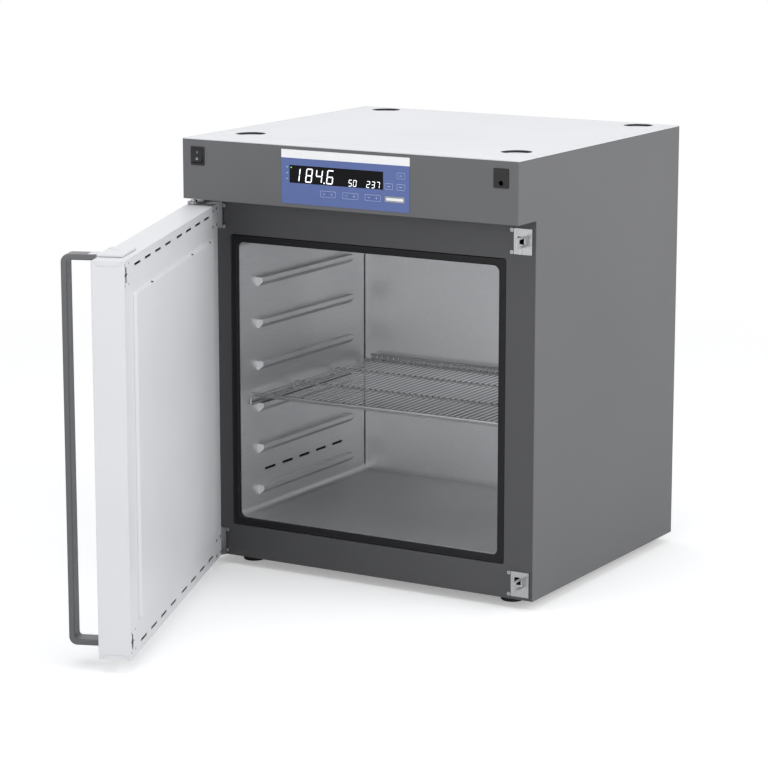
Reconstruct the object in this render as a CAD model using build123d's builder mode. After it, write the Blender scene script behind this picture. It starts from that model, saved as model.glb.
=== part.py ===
"""Bench laboratory oven with its door standing open, one wire shelf inside.

X runs to the oven's right, Y into the chamber and Z up. While it is being
modelled, X = 0 is the middle of the cabinet, Y = 0 the face of the front frame
and Z = 0 the bench. The door is drawn closed and swung open at the end.
"""
import os
from math import cos, radians, sin

from build123d import *

os.makedirs("parts", exist_ok=True)

# Cabinet
side_allowance = 74.5
top_allowance = 198
rear_allowance = 127
sheet = 1.5
fit = 0.3
head_height = 112
head_reach = 67.5
frame_flange = 18
pan_height = 25
panel_flange = 14
foot_height = 18
foot_radius = 21
foot_bevel = 1.5
foot_inset_x = 70
foot_inset_front = 55
foot_inset_rear = 35
stack_clearance = 7.5
stack_depth = 5
stack_press_radius = 1
ring_wall = 1.2
ring_shoulder = 0.4
cover_groove_inset = 14

# Chamber
chamber_width = 551
chamber_height = 525
chamber_depth = 452
chamber_rise = 77
liner_wall = 1
liner_corner = 12
liner_rim = 24
mouth_depth = 6
rail_pitch = 80.5
rail_first_rise = 48
rail_top_clearance = 40
rail_reach = 12.5
rail_lip = 8
rail_foot = 3
rail_height = 17
rail_length = 332
rail_setback = 59
air_slot_count = 5
air_slot_pitch = 61.3
air_slot_length = 38
air_slot_height = 5
air_slot_setback = 81
air_slot_rise = 28

# Door seal
seal_width = 15.5
seal_corner = 5
seal_lead = 1.2
seal_round = 3

# Wire shelf
shelf_rail_number = 3
shelf_side_gap = 1.5
shelf_front_gap = 27
shelf_rear_gap = 14
runner_rod = 6
carrier_rod = 5
grid_wire = 3
grid_pitch = 12.5
shelf_lift = 18
carrier_bend = 9
shelf_stop_height = 8
weld = 0.4

# Door
door_side_gap = 4
door_top_gap = 12
door_bottom_gap = 5
door_gap = 7.5
door_thickness = 56
door_skin = 1.2
door_edge_round = 2.5
inner_panel_rise = 6
inner_panel_lap = 1
inner_panel_corner = 7
inner_panel_bevel = 4.5
inner_panel_slot = 14
inner_panel_slot_height = 3
inner_panel_slots = (79, 224, 522)
vent_slots_each_side = 4
vent_slot_length = 42
vent_slot_height = 4.5
vent_slot_gap = 29.5
vent_slot_middle_gap = 43
vent_slot_inset = 15.5
flap_depth = 9
flap_bevel = 10
flap_setback = 2
flap_seam_width = 1.3
flap_seam_depth = 0.8
seam_width = 0.8
seam_depth = 0.5

# Hinges and strikes
open_angle = 68.6
pin_inset_x = 8
pin_inset_y = 42
pin_radius = 4
pin_running = 0.05
pin_length = 28
pin_head_radius = 6
pin_head_height = 3
bush_wall = 2
bush_flange = 0.7
bush_flange_lap = 1.5
bush_length = 10
arm_thickness = 4
arm_gap = 1
arm_margin = 8
bracket_width = 36
bracket_height = 46
bracket_inset = 7
bracket_proud = 2.5
bracket_flange = 3
bracket_flange_lap = 18
upper_bracket_drop = 38
lower_bracket_rise = 29
bracket_screw_spread = 39.4
bracket_screw_gap = 4
screw_radius = 2
screw_head_radius = 3.6
screw_head_height = 2.8
screw_length = 8
block_width = 46
block_height = 42
block_pocket = 22
block_screw_head = 1
block_screw_length = 4

# Latch
upper_latch_inset = 24
lower_latch_inset = 30
lug_edge = 16.5
lug_thickness = 2.5
lug_height = 20
lug_reach = 45
lug_bar = 11
lug_window_height = 12
lug_window_setback = 12
lug_hole_width = 15
lug_hole_height = 14
lug_hole_gap = 3
latch_slot_width = 9
latch_slot_height = 27
latch_mouth_width = 22
latch_mouth_height = 8
shaft_inset_x = 85
shaft_inset_y = 28.5
shaft_radius = 5
crank_radius = 18
crank_pin_radius = 2.5
crank_thickness = 4
handle_turn = 20
bolt_height = 8
bolt_width = 12
bolt_clearance = 0.6
bolt_side_gap = 0.3
bolt_past_lug = 2.4
bolt_bevel = 6
bolt_web = 12
case_floor = 2

# Handle
handle_width = 32
handle_thickness = 10.5
handle_stand_off = 61
handle_inset = 39
handle_lower_rise = 11
handle_round = 2
handle_bend = 14
arm_slope = 8
plate_thickness = 3
plate_length = 91
plate_reach = 16.5
plate_edge_gap = 1
plate_notch_width = 3.2
plate_notch_start = 25
plate_notch_end = 7
shaft_end_cover = 0.6
lower_plate_lap = 14
tongue_length = 16
lower_slot_height = 14
lower_slot_width = 48

# Control panel
panel_left_margin = 17.3
panel_right_margin = 53.7
panel_height = 97.7
panel_drop = 7.6
strip_height = 15
foil_thickness = 0.8
display_width = 196
display_height = 32.2
display_drop = 51.5
key_width = 15
key_height = 9.6
key_gap = 1
key_proud = 0.6
key_travel = 0.5
key_clearance = 0.15
key_radius = 1.5
pair_pitch = 46.6
pair_right_inset = 5.9
pair_drop = 83.6
menu_key_pitch = 24.6
menu_key_drops = (40.7, 61)
side_key_gap = 4.1
plate_label_width = 40.7
plate_label_inset = 12.7
board_depth = 5
board_thickness = 1.6
module_inset = 34
module_width = 30
module_height = 34.4
module_drop = 31.6
module_proud = 1.6
module_depth = 24
rocker_width = 21
rocker_height = 25
rocker_tilt = 12
rocker_pivot_depth = 3
rocker_clearance = 0.4
port_radius = 4.5
port_hole_depth = 14
port_hole_drop = 8.5

# Heating, air and electrics
heater_gap = 22
heater_tube = 4
heater_bend = 25
heater_inset = 60
heater_setback = 60
heater_rear_gap = 40
heater_runs = 6
insulation_top = 78
insulation_rear = 87
vent_radius = 25
vent_wall = 1.5
vent_inset = 75.5
vent_drop = 62
vent_stub = 32
probe_radius = 3
probe_inset = 13.5
probe_drop = 150
probe_reach = 45
louvre_count = 8
louvre_pitch = 22
louvre_width = 180
louvre_height = 4
louvre_rise = 60
gland_inset = 80
gland_drop = 88
gland_bore = 4.5
gland_radius = 11
gland_length = 22
board_width = 180
board_length = 120
board_pillar = 8
board_part_height = 15
board_x = -60
transformer_x = 140
electrics_y = 200
transformer_size = 62

# Levels and places that follow from the sizes above
body_width = chamber_width + 2 * side_allowance
body_height = chamber_rise + chamber_height + top_allowance
body_depth = mouth_depth + chamber_depth + rear_allowance
half_width = body_width / 2
module_x = half_width - module_inset
vent_x = chamber_width / 2 - vent_inset
probe_x = chamber_width / 2 - probe_inset
gland_x = gland_inset - half_width
body_bottom = foot_height
body_top = body_bottom + body_height
gland_z = body_top - gland_drop
head_bottom = body_top - head_height
inner_half = half_width - sheet - fit
chamber_floor = body_bottom + chamber_rise
chamber_mid = chamber_floor + chamber_height / 2
chamber_top = chamber_floor + chamber_height
chamber_back = mouth_depth + chamber_depth
rail_space = chamber_height - rail_first_rise - rail_top_clearance
rail_count = int(rail_space // rail_pitch) + 1
rail_tops = [chamber_floor + rail_first_rise + rail_pitch * step for step in range(rail_count)]
seal_outer_width = chamber_width + 2 * seal_width
seal_outer_height = chamber_height + 2 * seal_width
door_left = -half_width + door_side_gap
door_right = half_width - door_side_gap
door_bottom = body_bottom + door_bottom_gap
door_top = head_bottom - door_top_gap
door_mid = (door_bottom + door_top) / 2
door_width = door_right - door_left
door_height = door_top - door_bottom
door_back = -door_gap
door_front = -door_gap - door_thickness
pin_x = door_left + pin_inset_x
pin_y = door_back - pin_inset_y
upper_bracket_z = head_bottom - upper_bracket_drop
lower_bracket_z = body_bottom + lower_bracket_rise
upper_latch_z = door_top - upper_latch_inset
lower_latch_z = door_bottom + lower_latch_inset
lug_x = half_width - lug_edge
shaft_x = door_right - shaft_inset_x
shaft_y = door_back - shaft_inset_y
head_face = -head_reach
panel_width = panel_left_margin + display_width + panel_right_margin
display_shift = (panel_left_margin - panel_right_margin) / 2
side_key_x = display_shift + display_width / 2 + side_key_gap + key_width / 2
menu_key_x = side_key_x + menu_key_pitch
plate_label_x = menu_key_x - plate_label_inset
pair_right_edge = display_shift + display_width / 2 - pair_right_inset
pair_shift = pair_right_edge - key_width - key_gap / 2 - pair_pitch
foot_places = [
    (side * (half_width - foot_inset_x), depth)
    for side in (-1, 1)
    for depth in (foot_inset_front, body_depth - foot_inset_rear)
]
cabinet = {}
door = {}


def upright(depth):
    """A plane that faces the user, at a depth behind the front frame's face."""
    return Plane.XZ.offset(-depth)


def level(height):
    return Plane.XY.offset(height)


# Base pan, open at the top, with a hole for each foot's screw
with BuildPart() as base_pan:
    pan_length = body_depth - sheet - fit - frame_flange - fit
    with BuildSketch(level(body_bottom)):
        with Locations((0, frame_flange + fit + pan_length / 2)):
            Rectangle(2 * inner_half, pan_length)
    extrude(amount=pan_height)
    offset(amount=-sheet, openings=base_pan.faces().sort_by(Axis.Z)[-1:])
    with BuildSketch(level(body_bottom)):
        with Locations(*foot_places):
            Circle(screw_radius + fit)
    extrude(amount=sheet, mode=Mode.SUBTRACT)
cabinet["base_pan"] = base_pan

# Rubber feet with a countersunk seat for the screw, and the four screws
with BuildPart() as feet:
    with BuildSketch(level(0)):
        with Locations(*foot_places):
            Circle(foot_radius)
    extrude(amount=foot_height)
    chamfer(feet.faces().filter_by(Axis.Z).group_by(Axis.Z)[0].edges(), foot_bevel)
    with BuildSketch(level(0)):
        with Locations(*foot_places):
            Circle(screw_head_radius + 1)
    extrude(amount=foot_height / 2, mode=Mode.SUBTRACT)
    with BuildSketch(level(0)):
        with Locations(*foot_places):
            Circle(screw_radius + fit / 3)
    extrude(amount=foot_height, mode=Mode.SUBTRACT)
cabinet["feet"] = feet

with BuildPart() as foot_screws:
    with BuildSketch(level(foot_height / 2 - screw_head_height)):
        with Locations(*foot_places):
            Circle(screw_head_radius)
    extrude(amount=screw_head_height)
    with BuildSketch(level(foot_height / 2)):
        with Locations(*foot_places):
            Circle(screw_radius)
    extrude(amount=foot_height / 2 + sheet)
cabinet["foot_screws"] = foot_screws

# Side panels with flanges turned in at the rear and the top
with BuildPart() as side_panel_right:
    panel_height_total = body_height - sheet
    with BuildSketch(level(body_bottom)):
        with Locations((half_width - sheet / 2, body_depth / 2)):
            Rectangle(sheet, body_depth)
        with Locations((half_width - panel_flange / 2, body_depth - sheet / 2)):
            Rectangle(panel_flange, sheet)
    extrude(amount=panel_height_total)
    with BuildSketch(level(body_top - 2 * sheet)):
        with Locations((half_width - panel_flange / 2, body_depth / 2)):
            Rectangle(panel_flange, body_depth)
    extrude(amount=sheet)
cabinet["side_panel_right"] = side_panel_right

with BuildPart() as side_panel_left:
    add(side_panel_right.part.mirror(Plane.YZ))
cabinet["side_panel_left"] = side_panel_left

# Rear panel with louvres, the vent's hole and the mains gland's hole
vent_z = chamber_top - vent_drop
with BuildPart() as rear_panel:
    rear_width = 2 * (half_width - panel_flange - fit)
    rear_height = body_height - sheet
    with BuildSketch(upright(body_depth - sheet)):
        with Locations((0, body_bottom + rear_height / 2)):
            Rectangle(rear_width, rear_height)
        with Locations((vent_x, vent_z)):
            Circle(vent_radius + fit, mode=Mode.SUBTRACT)
        with Locations((gland_x, gland_z)):
            Circle(gland_radius - 3 + fit, mode=Mode.SUBTRACT)
        for row in range(louvre_count):
            with Locations((0, body_bottom + louvre_rise + row * louvre_pitch)):
                SlotOverall(louvre_width, louvre_height, mode=Mode.SUBTRACT)
        for side in (-1, 1):
            for row in range(3):
                upper_z = body_top - louvre_rise - row * louvre_pitch
                with Locations((side * louvre_width * 0.8, upper_z)):
                    SlotOverall(louvre_width * 0.6, louvre_height, mode=Mode.SUBTRACT)
    extrude(amount=-sheet)
cabinet["rear_panel"] = rear_panel

# Top cover with a pressed cup over each foot's place, so that ovens stack
with BuildPart() as top_cover:
    cup_radius = foot_radius + stack_clearance
    with BuildSketch(level(body_top - sheet)):
        with Locations((0, seam_width / 2 + body_depth / 2)):
            Rectangle(body_width, body_depth - seam_width)
    extrude(amount=sheet)
    with BuildSketch(level(body_top - stack_depth - sheet)):
        with Locations(*foot_places):
            Circle(cup_radius + sheet)
    extrude(amount=stack_depth)
    with BuildSketch(level(body_top - stack_depth)):
        with Locations(*foot_places):
            Circle(cup_radius)
    extrude(amount=stack_depth, mode=Mode.SUBTRACT)
    with BuildSketch(level(body_top - stack_depth - ring_shoulder)):
        with Locations(*foot_places):
            Circle(cup_radius - ring_wall - fit)
    extrude(amount=ring_shoulder, mode=Mode.SUBTRACT)
    rims = top_cover.edges().filter_by(GeomType.CIRCLE).group_by(Axis.Z)[-1]
    fillet(rims.filter_by(lambda rim: rim.radius > foot_radius), stack_press_radius)
    with BuildSketch(level(body_top)):
        with Locations((cover_groove_inset - half_width, 0), (half_width - cover_groove_inset, 0)):
            Rectangle(seam_width, 2 * (body_depth - cover_groove_inset))
    extrude(amount=-seam_depth, mode=Mode.SUBTRACT)
cabinet["top_cover"] = top_cover

# Dark rings that line the cups' walls, each on the shoulder round its cup's floor
with BuildPart() as stack_rings:
    with BuildSketch(level(body_top - stack_depth)):
        with Locations(*foot_places):
            Circle(cup_radius)
            Circle(cup_radius - ring_wall, mode=Mode.SUBTRACT)
    extrude(amount=stack_depth - stack_press_radius - 0.2)
cabinet["stack_rings"] = stack_rings

# Lid of the control head, in line with the top cover
with BuildPart() as head_lid:
    with BuildSketch(level(body_top - sheet)):
        with Locations((0, -head_reach / 2)):
            Rectangle(body_width, head_reach)
    extrude(amount=sheet)
    fillet(head_lid.edges().filter_by(Axis.Z).group_by(Axis.Y)[0], 2)
cabinet["head_lid"] = head_lid

# Front frame: a tray with the seal's opening and a cut-out for each bracket
bracket_x = half_width - bracket_inset - bracket_width / 2
bracket_screw_x = bracket_x - bracket_width / 2 - bracket_screw_gap
bracket_places = [
    (side * bracket_x, z) for side in (-1, 1) for z in (upper_bracket_z, lower_bracket_z)
]
bracket_screw_places = [
    (side * bracket_screw_x, z + turn * bracket_screw_spread / 2)
    for side in (-1, 1)
    for z in (upper_bracket_z, lower_bracket_z)
    for turn in (-1, 1)
]
with BuildPart() as front_frame:
    frame_top = head_bottom + 2 * pan_height / 5
    with BuildSketch(upright(0)):
        with Locations((0, (body_bottom + frame_top) / 2)):
            Rectangle(2 * inner_half, frame_top - body_bottom)
    extrude(amount=-frame_flange)
    offset(amount=-sheet, openings=front_frame.faces().sort_by(Axis.Y)[-1:])
    with BuildSketch(upright(0)):
        with Locations((0, chamber_mid)):
            RectangleRounded(seal_outer_width, seal_outer_height, seal_corner)
        with Locations(*bracket_places):
            Rectangle(bracket_width + 2 * fit, bracket_height + 2 * fit)
        with Locations(*bracket_screw_places):
            Circle(screw_radius + fit)
    extrude(amount=-sheet, mode=Mode.SUBTRACT)
cabinet["front_frame"] = front_frame


def rail_outline(skin):
    """Points of a shelf rail's section, a skin's depth inside its surface."""
    return [
        (-liner_wall, -skin),
        (rail_reach - skin, -skin),
        (rail_reach - skin, -rail_lip),
        (rail_foot - skin / 2, skin - rail_height),
        (-liner_wall, skin - rail_height),
    ]


# Chamber liner: a seamless box with pressed shelf rails and air slots
wall_x = chamber_width / 2
with BuildPart() as chamber_liner:
    with BuildSketch(upright(mouth_depth)):
        with Locations((0, chamber_mid)):
            RectangleRounded(
                chamber_width + 2 * liner_wall,
                chamber_height + 2 * liner_wall,
                liner_corner + liner_wall,
            )
    extrude(amount=-chamber_depth - liner_wall)
    with BuildSketch(upright(mouth_depth)):
        with Locations((0, chamber_mid)):
            RectangleRounded(
                chamber_width + 2 * liner_rim, chamber_height + 2 * liner_rim, seal_corner
            )
    extrude(amount=-liner_wall)
    with BuildSketch(upright(mouth_depth)):
        with Locations((0, chamber_mid)):
            RectangleRounded(chamber_width, chamber_height, liner_corner)
    extrude(amount=-chamber_depth, mode=Mode.SUBTRACT)
    for skin, mode in ((0, Mode.ADD), (liner_wall, Mode.SUBTRACT)):
        with BuildSketch(upright(mouth_depth + rail_setback + skin)):
            with Locations(*[(-wall_x, top) for top in rail_tops]):
                Polygon(*rail_outline(skin), align=None)
            mirror(about=Plane.YZ)
        extrude(amount=-rail_length + 2 * skin, mode=mode)
    slot_z = rail_tops[0] + air_slot_rise
    slot_y = mouth_depth + air_slot_setback + air_slot_length / 2
    with BuildSketch(Plane.YZ):
        for step in range(air_slot_count):
            with Locations((slot_y + air_slot_pitch * step, slot_z)):
                SlotOverall(air_slot_length, air_slot_height)
    extrude(amount=half_width, both=True, mode=Mode.SUBTRACT)
    with BuildSketch(upright(chamber_back)):
        with Locations((vent_x, vent_z)):
            Circle(vent_radius)
        with Locations((probe_x, chamber_top - probe_drop)):
            Circle(probe_radius)
    extrude(amount=-liner_wall, mode=Mode.SUBTRACT)
cabinet["chamber_liner"] = chamber_liner

# Door seal, a rounded ring that stands a little proud of the frame
with BuildPart() as door_seal:
    with BuildSketch(upright(-seal_lead)):
        with Locations((0, chamber_mid)):
            RectangleRounded(
                seal_outer_width - 2 * fit, seal_outer_height - 2 * fit, seal_corner - fit
            )
            RectangleRounded(
                chamber_width + 2 * liner_wall,
                chamber_height + 2 * liner_wall,
                liner_corner,
                mode=Mode.SUBTRACT,
            )
    extrude(amount=-seal_lead - mouth_depth)
    fillet(door_seal.faces().sort_by(Axis.Y)[0].edges(), seal_round)
cabinet["door_seal"] = door_seal

# Mineral wool round the liner, with room for the heater below it
wool_half = inner_half - sheet - fit
wool_front = frame_flange + fit
wool_bottom = body_bottom + sheet
wool_top = chamber_top + insulation_top
with BuildPart() as chamber_insulation:
    wool_depth = chamber_back + insulation_rear - wool_front
    with BuildSketch(level(wool_bottom)):
        with Locations((0, wool_front + sheet + fit + (wool_depth - sheet - fit) / 2)):
            Rectangle(2 * wool_half, wool_depth - sheet - fit)
    extrude(amount=wool_top - wool_bottom)
    hollow_bottom = chamber_floor - liner_wall - heater_gap
    hollow_top = chamber_top + liner_wall + fit
    with BuildSketch(upright(wool_front)):
        with Locations((0, (hollow_bottom + hollow_top) / 2)):
            Rectangle(chamber_width + 2 * liner_wall + 2 * fit, hollow_top - hollow_bottom)
    extrude(amount=-(chamber_back + liner_wall + fit - wool_front), mode=Mode.SUBTRACT)
    with BuildSketch(upright(chamber_back)):
        with Locations((vent_x, vent_z)):
            Circle(vent_radius + fit)
        with Locations((probe_x, chamber_top - probe_drop)):
            Circle(probe_radius + fit)
    extrude(amount=-insulation_rear - sheet, mode=Mode.SUBTRACT)
cabinet["chamber_insulation"] = chamber_insulation

# Partition between the hot box and the electrics above it
with BuildPart() as partition_plate:
    plate_run = body_depth - sheet - fit - frame_flange - fit
    with BuildSketch(level(wool_top)):
        with Locations((0, frame_flange + fit + plate_run / 2)):
            Rectangle(2 * inner_half, plate_run)
    extrude(amount=sheet)
cabinet["partition_plate"] = partition_plate

# Tubular heater, one bent tube that lies on the wool under the chamber floor
with BuildPart() as floor_heater:
    heater_z = chamber_floor - liner_wall - heater_gap + heater_tube
    heater_front = mouth_depth + heater_setback
    heater_back = chamber_back - heater_rear_gap
    run_step = (chamber_width - 2 * heater_inset) / (heater_runs - 1)
    turns = []
    for run in range(heater_runs):
        x = -(chamber_width - 2 * heater_inset) / 2 + run * run_step
        ends = (heater_back, heater_front) if run % 2 == 0 else (heater_front, heater_back)
        turns += [(x, ends[0], heater_z), (x, ends[1], heater_z)]
    with BuildLine() as heater_line:
        FilletPolyline(*turns, radius=heater_bend)
    with BuildSketch(Plane(origin=turns[0], z_dir=(0, -1, 0))):
        Circle(heater_tube)
    sweep(path=heater_line.wire())
cabinet["floor_heater"] = floor_heater

# Vent tube from the chamber's rear wall out through the rear panel
with BuildPart() as vent_tube:
    with BuildSketch(upright(chamber_back)):
        with Locations((vent_x, vent_z)):
            Circle(vent_radius)
            Circle(vent_radius - vent_wall, mode=Mode.SUBTRACT)
    extrude(amount=-(body_depth + vent_stub - chamber_back))
cabinet["vent_tube"] = vent_tube

# Temperature probe, held in the rear wall by its collar
with BuildPart() as temperature_probe:
    with BuildSketch(upright(chamber_back - probe_reach)):
        with Locations((probe_x, chamber_top - probe_drop)):
            Circle(probe_radius)
    extrude(amount=-(probe_reach + liner_wall + insulation_rear))
    fillet(temperature_probe.faces().sort_by(Axis.Y)[0].edges(), probe_radius / 2)
    with BuildSketch(upright(chamber_back - 5)):
        with Locations((probe_x, chamber_top - probe_drop)):
            RegularPolygon(7, 6)
    extrude(amount=-5)
cabinet["temperature_probe"] = temperature_probe

# Gland for the mains lead in the rear panel
with BuildPart() as mains_gland:
    with BuildSketch(upright(body_depth)):
        with Locations((gland_x, gland_z)):
            RegularPolygon(gland_radius, 6)
    extrude(amount=-6)
    with BuildSketch(upright(body_depth + 6)):
        with Locations((gland_x, gland_z)):
            Circle(gland_radius - 2)
    extrude(amount=-(gland_length - 12), taper=10)
    with BuildSketch(upright(body_depth)):
        with Locations((gland_x, gland_z)):
            Circle(gland_radius - 3)
    extrude(amount=8)
    with BuildSketch(upright(body_depth - 8)):
        with Locations((gland_x, gland_z)):
            Circle(gland_bore)
    extrude(amount=-gland_length - 10, mode=Mode.SUBTRACT)
cabinet["mains_gland"] = mains_gland

# Electrics on the partition: the control board on its pillars, and the transformer
board_z = wool_top + sheet
board_face = board_z + board_pillar
part_pitch = board_width / 4.5
with BuildPart() as control_board:
    with BuildSketch(level(board_face)):
        with Locations((board_x, electrics_y)):
            Rectangle(board_width, board_length)
    extrude(amount=board_thickness)
    with BuildSketch(level(board_z)):
        with Locations((board_x, electrics_y)):
            with GridLocations(board_width - 14, board_length - 14, 2, 2):
                Circle(4)
    extrude(amount=board_pillar)
    with BuildSketch(level(board_face + board_thickness)):
        with Locations((board_x, electrics_y - board_length / 5)):
            with GridLocations(part_pitch, 1, 3, 1):
                Rectangle(0.6 * part_pitch, 0.5 * part_pitch)
        with Locations((board_x, electrics_y + board_length / 4)):
            with GridLocations(1.5 * part_pitch, 1, 2, 1):
                Rectangle(1.1 * part_pitch, 0.35 * part_pitch)
    extrude(amount=board_part_height)
cabinet["control_board"] = control_board

core_height = transformer_size * 0.75
with BuildPart() as transformer:
    with BuildSketch(level(board_z)):
        with Locations((transformer_x, electrics_y)):
            Rectangle(transformer_size, transformer_size * 0.8)
    extrude(amount=core_height)
    with BuildSketch(upright(electrics_y)):
        with Locations((transformer_x, board_z + core_height / 2)):
            Rectangle(transformer_size * 0.6, transformer_size * 0.5)
    extrude(amount=transformer_size * 0.6, both=True)
cabinet["transformer"] = transformer


def bracket_base(side, z):
    """Face plate in the frame's cut-out, with the flange clamped behind it."""
    with BuildPart() as base:
        with BuildSketch(upright(-bracket_proud)):
            with Locations((side * bracket_x, z)):
                Rectangle(bracket_width, bracket_height)
        extrude(amount=-(bracket_proud + sheet + fit + bracket_flange))
        flange_width = bracket_width + bracket_flange_lap
        with BuildSketch(upright(sheet + fit)):
            with Locations((side * (bracket_x - bracket_flange_lap / 2), z)):
                Rectangle(flange_width - 3, bracket_height + 4)
            with Locations(
                (side * bracket_screw_x, z - bracket_screw_spread / 2),
                (side * bracket_screw_x, z + bracket_screw_spread / 2),
            ):
                Circle(screw_radius + fit / 3, mode=Mode.SUBTRACT)
        extrude(amount=-bracket_flange)
    return base.part


# Strikes: the lug enters the door's slot and the latch bolt enters its window
def strike(bracket_z, latch_z):
    with BuildPart() as piece:
        add(bracket_base(1, bracket_z))
        hole_x = lug_x - lug_thickness / 2 - lug_hole_gap - lug_hole_width / 2
        with BuildSketch(upright(-bracket_proud)):
            with Locations((hole_x, latch_z)):
                RectangleRounded(lug_hole_width, lug_hole_height, 1)
        extrude(amount=-lug_reach / 2, mode=Mode.SUBTRACT)
        with BuildSketch(Plane.YZ.offset(lug_x - lug_thickness / 2)):
            with Locations((-bracket_proud - (lug_reach - bracket_proud) / 2, latch_z)):
                Rectangle(lug_reach - bracket_proud + 1, lug_height)
            window_depth = lug_reach - lug_bar - lug_window_setback
            with Locations((-lug_window_setback - window_depth / 2, latch_z)):
                RectangleRounded(window_depth, lug_window_height, 2, mode=Mode.SUBTRACT)
        extrude(amount=lug_thickness)
        tip = piece.faces().filter_by(Axis.Y).sort_by(Axis.Y)[0]
        fillet(tip.edges().filter_by(Axis.Z), lug_thickness / 2 - 0.1)
    return piece


strike_upper = strike(upper_bracket_z, upper_latch_z)
strike_lower = strike(lower_bracket_z, lower_latch_z)
cabinet["strike_upper"] = strike_upper
cabinet["strike_lower"] = strike_lower


# Hinge brackets: the arm reaches over or under the door to its pivot
def hinge_bracket(bracket_z, arm_z):
    with BuildPart() as piece:
        add(bracket_base(-1, bracket_z))
        with BuildSketch(level(arm_z)):
            with Locations((-bracket_x, -(bracket_proud + fit) / 2)):
                Rectangle(bracket_width, bracket_proud - fit)
            with Locations((pin_x, pin_y)):
                Circle(pin_radius + arm_margin)
            make_hull()
            with Locations((pin_x, pin_y)):
                Circle(pin_radius + pin_running, mode=Mode.SUBTRACT)
        extrude(amount=arm_thickness)
        low, high = sorted((bracket_z, arm_z + arm_thickness / 2))
        with BuildSketch(upright(-bracket_proud)):
            with Locations((-bracket_x, (low + high) / 2)):
                Rectangle(bracket_width, high - low)
        extrude(amount=-bracket_proud + fit)
    return piece


hinge_bracket_upper = hinge_bracket(upper_bracket_z, door_top + arm_gap)
hinge_bracket_lower = hinge_bracket(lower_bracket_z, door_bottom - arm_gap - arm_thickness)
cabinet["hinge_bracket_upper"] = hinge_bracket_upper
cabinet["hinge_bracket_lower"] = hinge_bracket_lower


# Hinge pins, headed, set in the brackets' arms and running in the door's bushes
def hinge_pin(arm_face, away):
    with BuildPart() as piece:
        with BuildSketch(level(arm_face)):
            with Locations((pin_x, pin_y)):
                Circle(pin_head_radius)
        extrude(amount=away * pin_head_height)
        with BuildSketch(level(arm_face)):
            with Locations((pin_x, pin_y)):
                Circle(pin_radius)
        extrude(amount=-away * pin_length)
        chamfer(piece.faces().sort_by(Axis.Z)[0 if away > 0 else -1].edges(), 0.8)
    return piece.part


with BuildPart() as hinge_pins:
    add(hinge_pin(door_top + arm_gap + arm_thickness, 1))
    add(hinge_pin(door_bottom - arm_gap - arm_thickness, -1))
cabinet["hinge_pins"] = hinge_pins

# Cap screws that clamp the brackets' flanges behind the frame
with BuildPart() as bracket_screws:
    with BuildSketch(upright(-screw_head_height)):
        with Locations(*bracket_screw_places):
            Circle(screw_head_radius)
            RegularPolygon(screw_radius * 0.8, 6, mode=Mode.SUBTRACT)
    extrude(amount=-screw_head_height / 2)
    with BuildSketch(upright(-screw_head_height / 2)):
        with Locations(*bracket_screw_places):
            Circle(screw_head_radius)
    extrude(amount=-screw_head_height / 2)
    with BuildSketch(upright(0)):
        with Locations(*bracket_screw_places):
            Circle(screw_radius)
    extrude(amount=-screw_length)
cabinet["bracket_screws"] = bracket_screws

# Control head: front, underside and cheeks folded from one sheet
panel_mid = body_top - panel_drop - panel_height / 2
display_z = body_top - display_drop
pair_z = body_top - pair_drop
module_z = body_top - module_drop
key_places = {}
for pair, name in enumerate(("left", "middle", "right")):
    pair_x = pair_shift + (pair - 1) * pair_pitch
    key_places[name + "_minus_key"] = (pair_x - (key_width + key_gap) / 2, pair_z)
    key_places[name + "_plus_key"] = (pair_x + (key_width + key_gap) / 2, pair_z)
key_places["upper_menu_key"] = (menu_key_x, body_top - menu_key_drops[0])
key_places["lower_menu_key"] = (menu_key_x, body_top - menu_key_drops[1])
key_places["side_menu_key"] = (side_key_x, body_top - menu_key_drops[1])

with BuildPart() as control_head:
    head_rise = head_height - sheet
    with BuildSketch(upright(head_face)):
        with Locations((0, head_bottom + head_rise / 2)):
            Rectangle(body_width, head_rise)
    extrude(amount=-head_reach)
    fillet(control_head.edges().filter_by(Axis.Z).sort_by(Axis.Y)[:2], 2)
    with BuildSketch(upright(head_face + sheet)):
        with Locations((0, head_bottom + sheet + head_rise / 2)):
            Rectangle(body_width - 2 * sheet, head_rise)
    extrude(amount=-head_reach, mode=Mode.SUBTRACT)
    with BuildSketch(upright(head_face)):
        with Locations((-module_x, module_z), (module_x, module_z)):
            Rectangle(module_width - 3, module_height - 3)
        with Locations((display_shift, display_z)):
            Rectangle(display_width - 6, display_height - 6)
        with Locations(*key_places.values()):
            Rectangle(key_width + 1, key_height + 1)
    extrude(amount=-sheet, mode=Mode.SUBTRACT)
cabinet["control_head"] = control_head

# Printed foil over the keys, and the pale strip along its top edge
foil_face = head_face - foil_thickness
foil_height = panel_height - strip_height
with BuildPart() as panel_foil:
    with BuildSketch(upright(foil_face)):
        with Locations((0, panel_mid - strip_height / 2)):
            Rectangle(panel_width, foil_height)
        with Locations((display_shift, display_z)):
            Rectangle(display_width, display_height, mode=Mode.SUBTRACT)
        with Locations(*key_places.values()):
            RectangleRounded(
                key_width + 2 * key_clearance,
                key_height + 2 * key_clearance,
                key_radius + key_clearance,
                mode=Mode.SUBTRACT,
            )
        with Locations((plate_label_x, pair_z)):
            Rectangle(plate_label_width, key_height + 1, mode=Mode.SUBTRACT)
    extrude(amount=-foil_thickness)
cabinet["panel_foil"] = panel_foil

with BuildPart() as panel_strip:
    with BuildSketch(upright(foil_face)):
        with Locations((0, panel_mid + foil_height / 2)):
            Rectangle(panel_width, strip_height)
    extrude(amount=-foil_thickness)
cabinet["panel_strip"] = panel_strip

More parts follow.
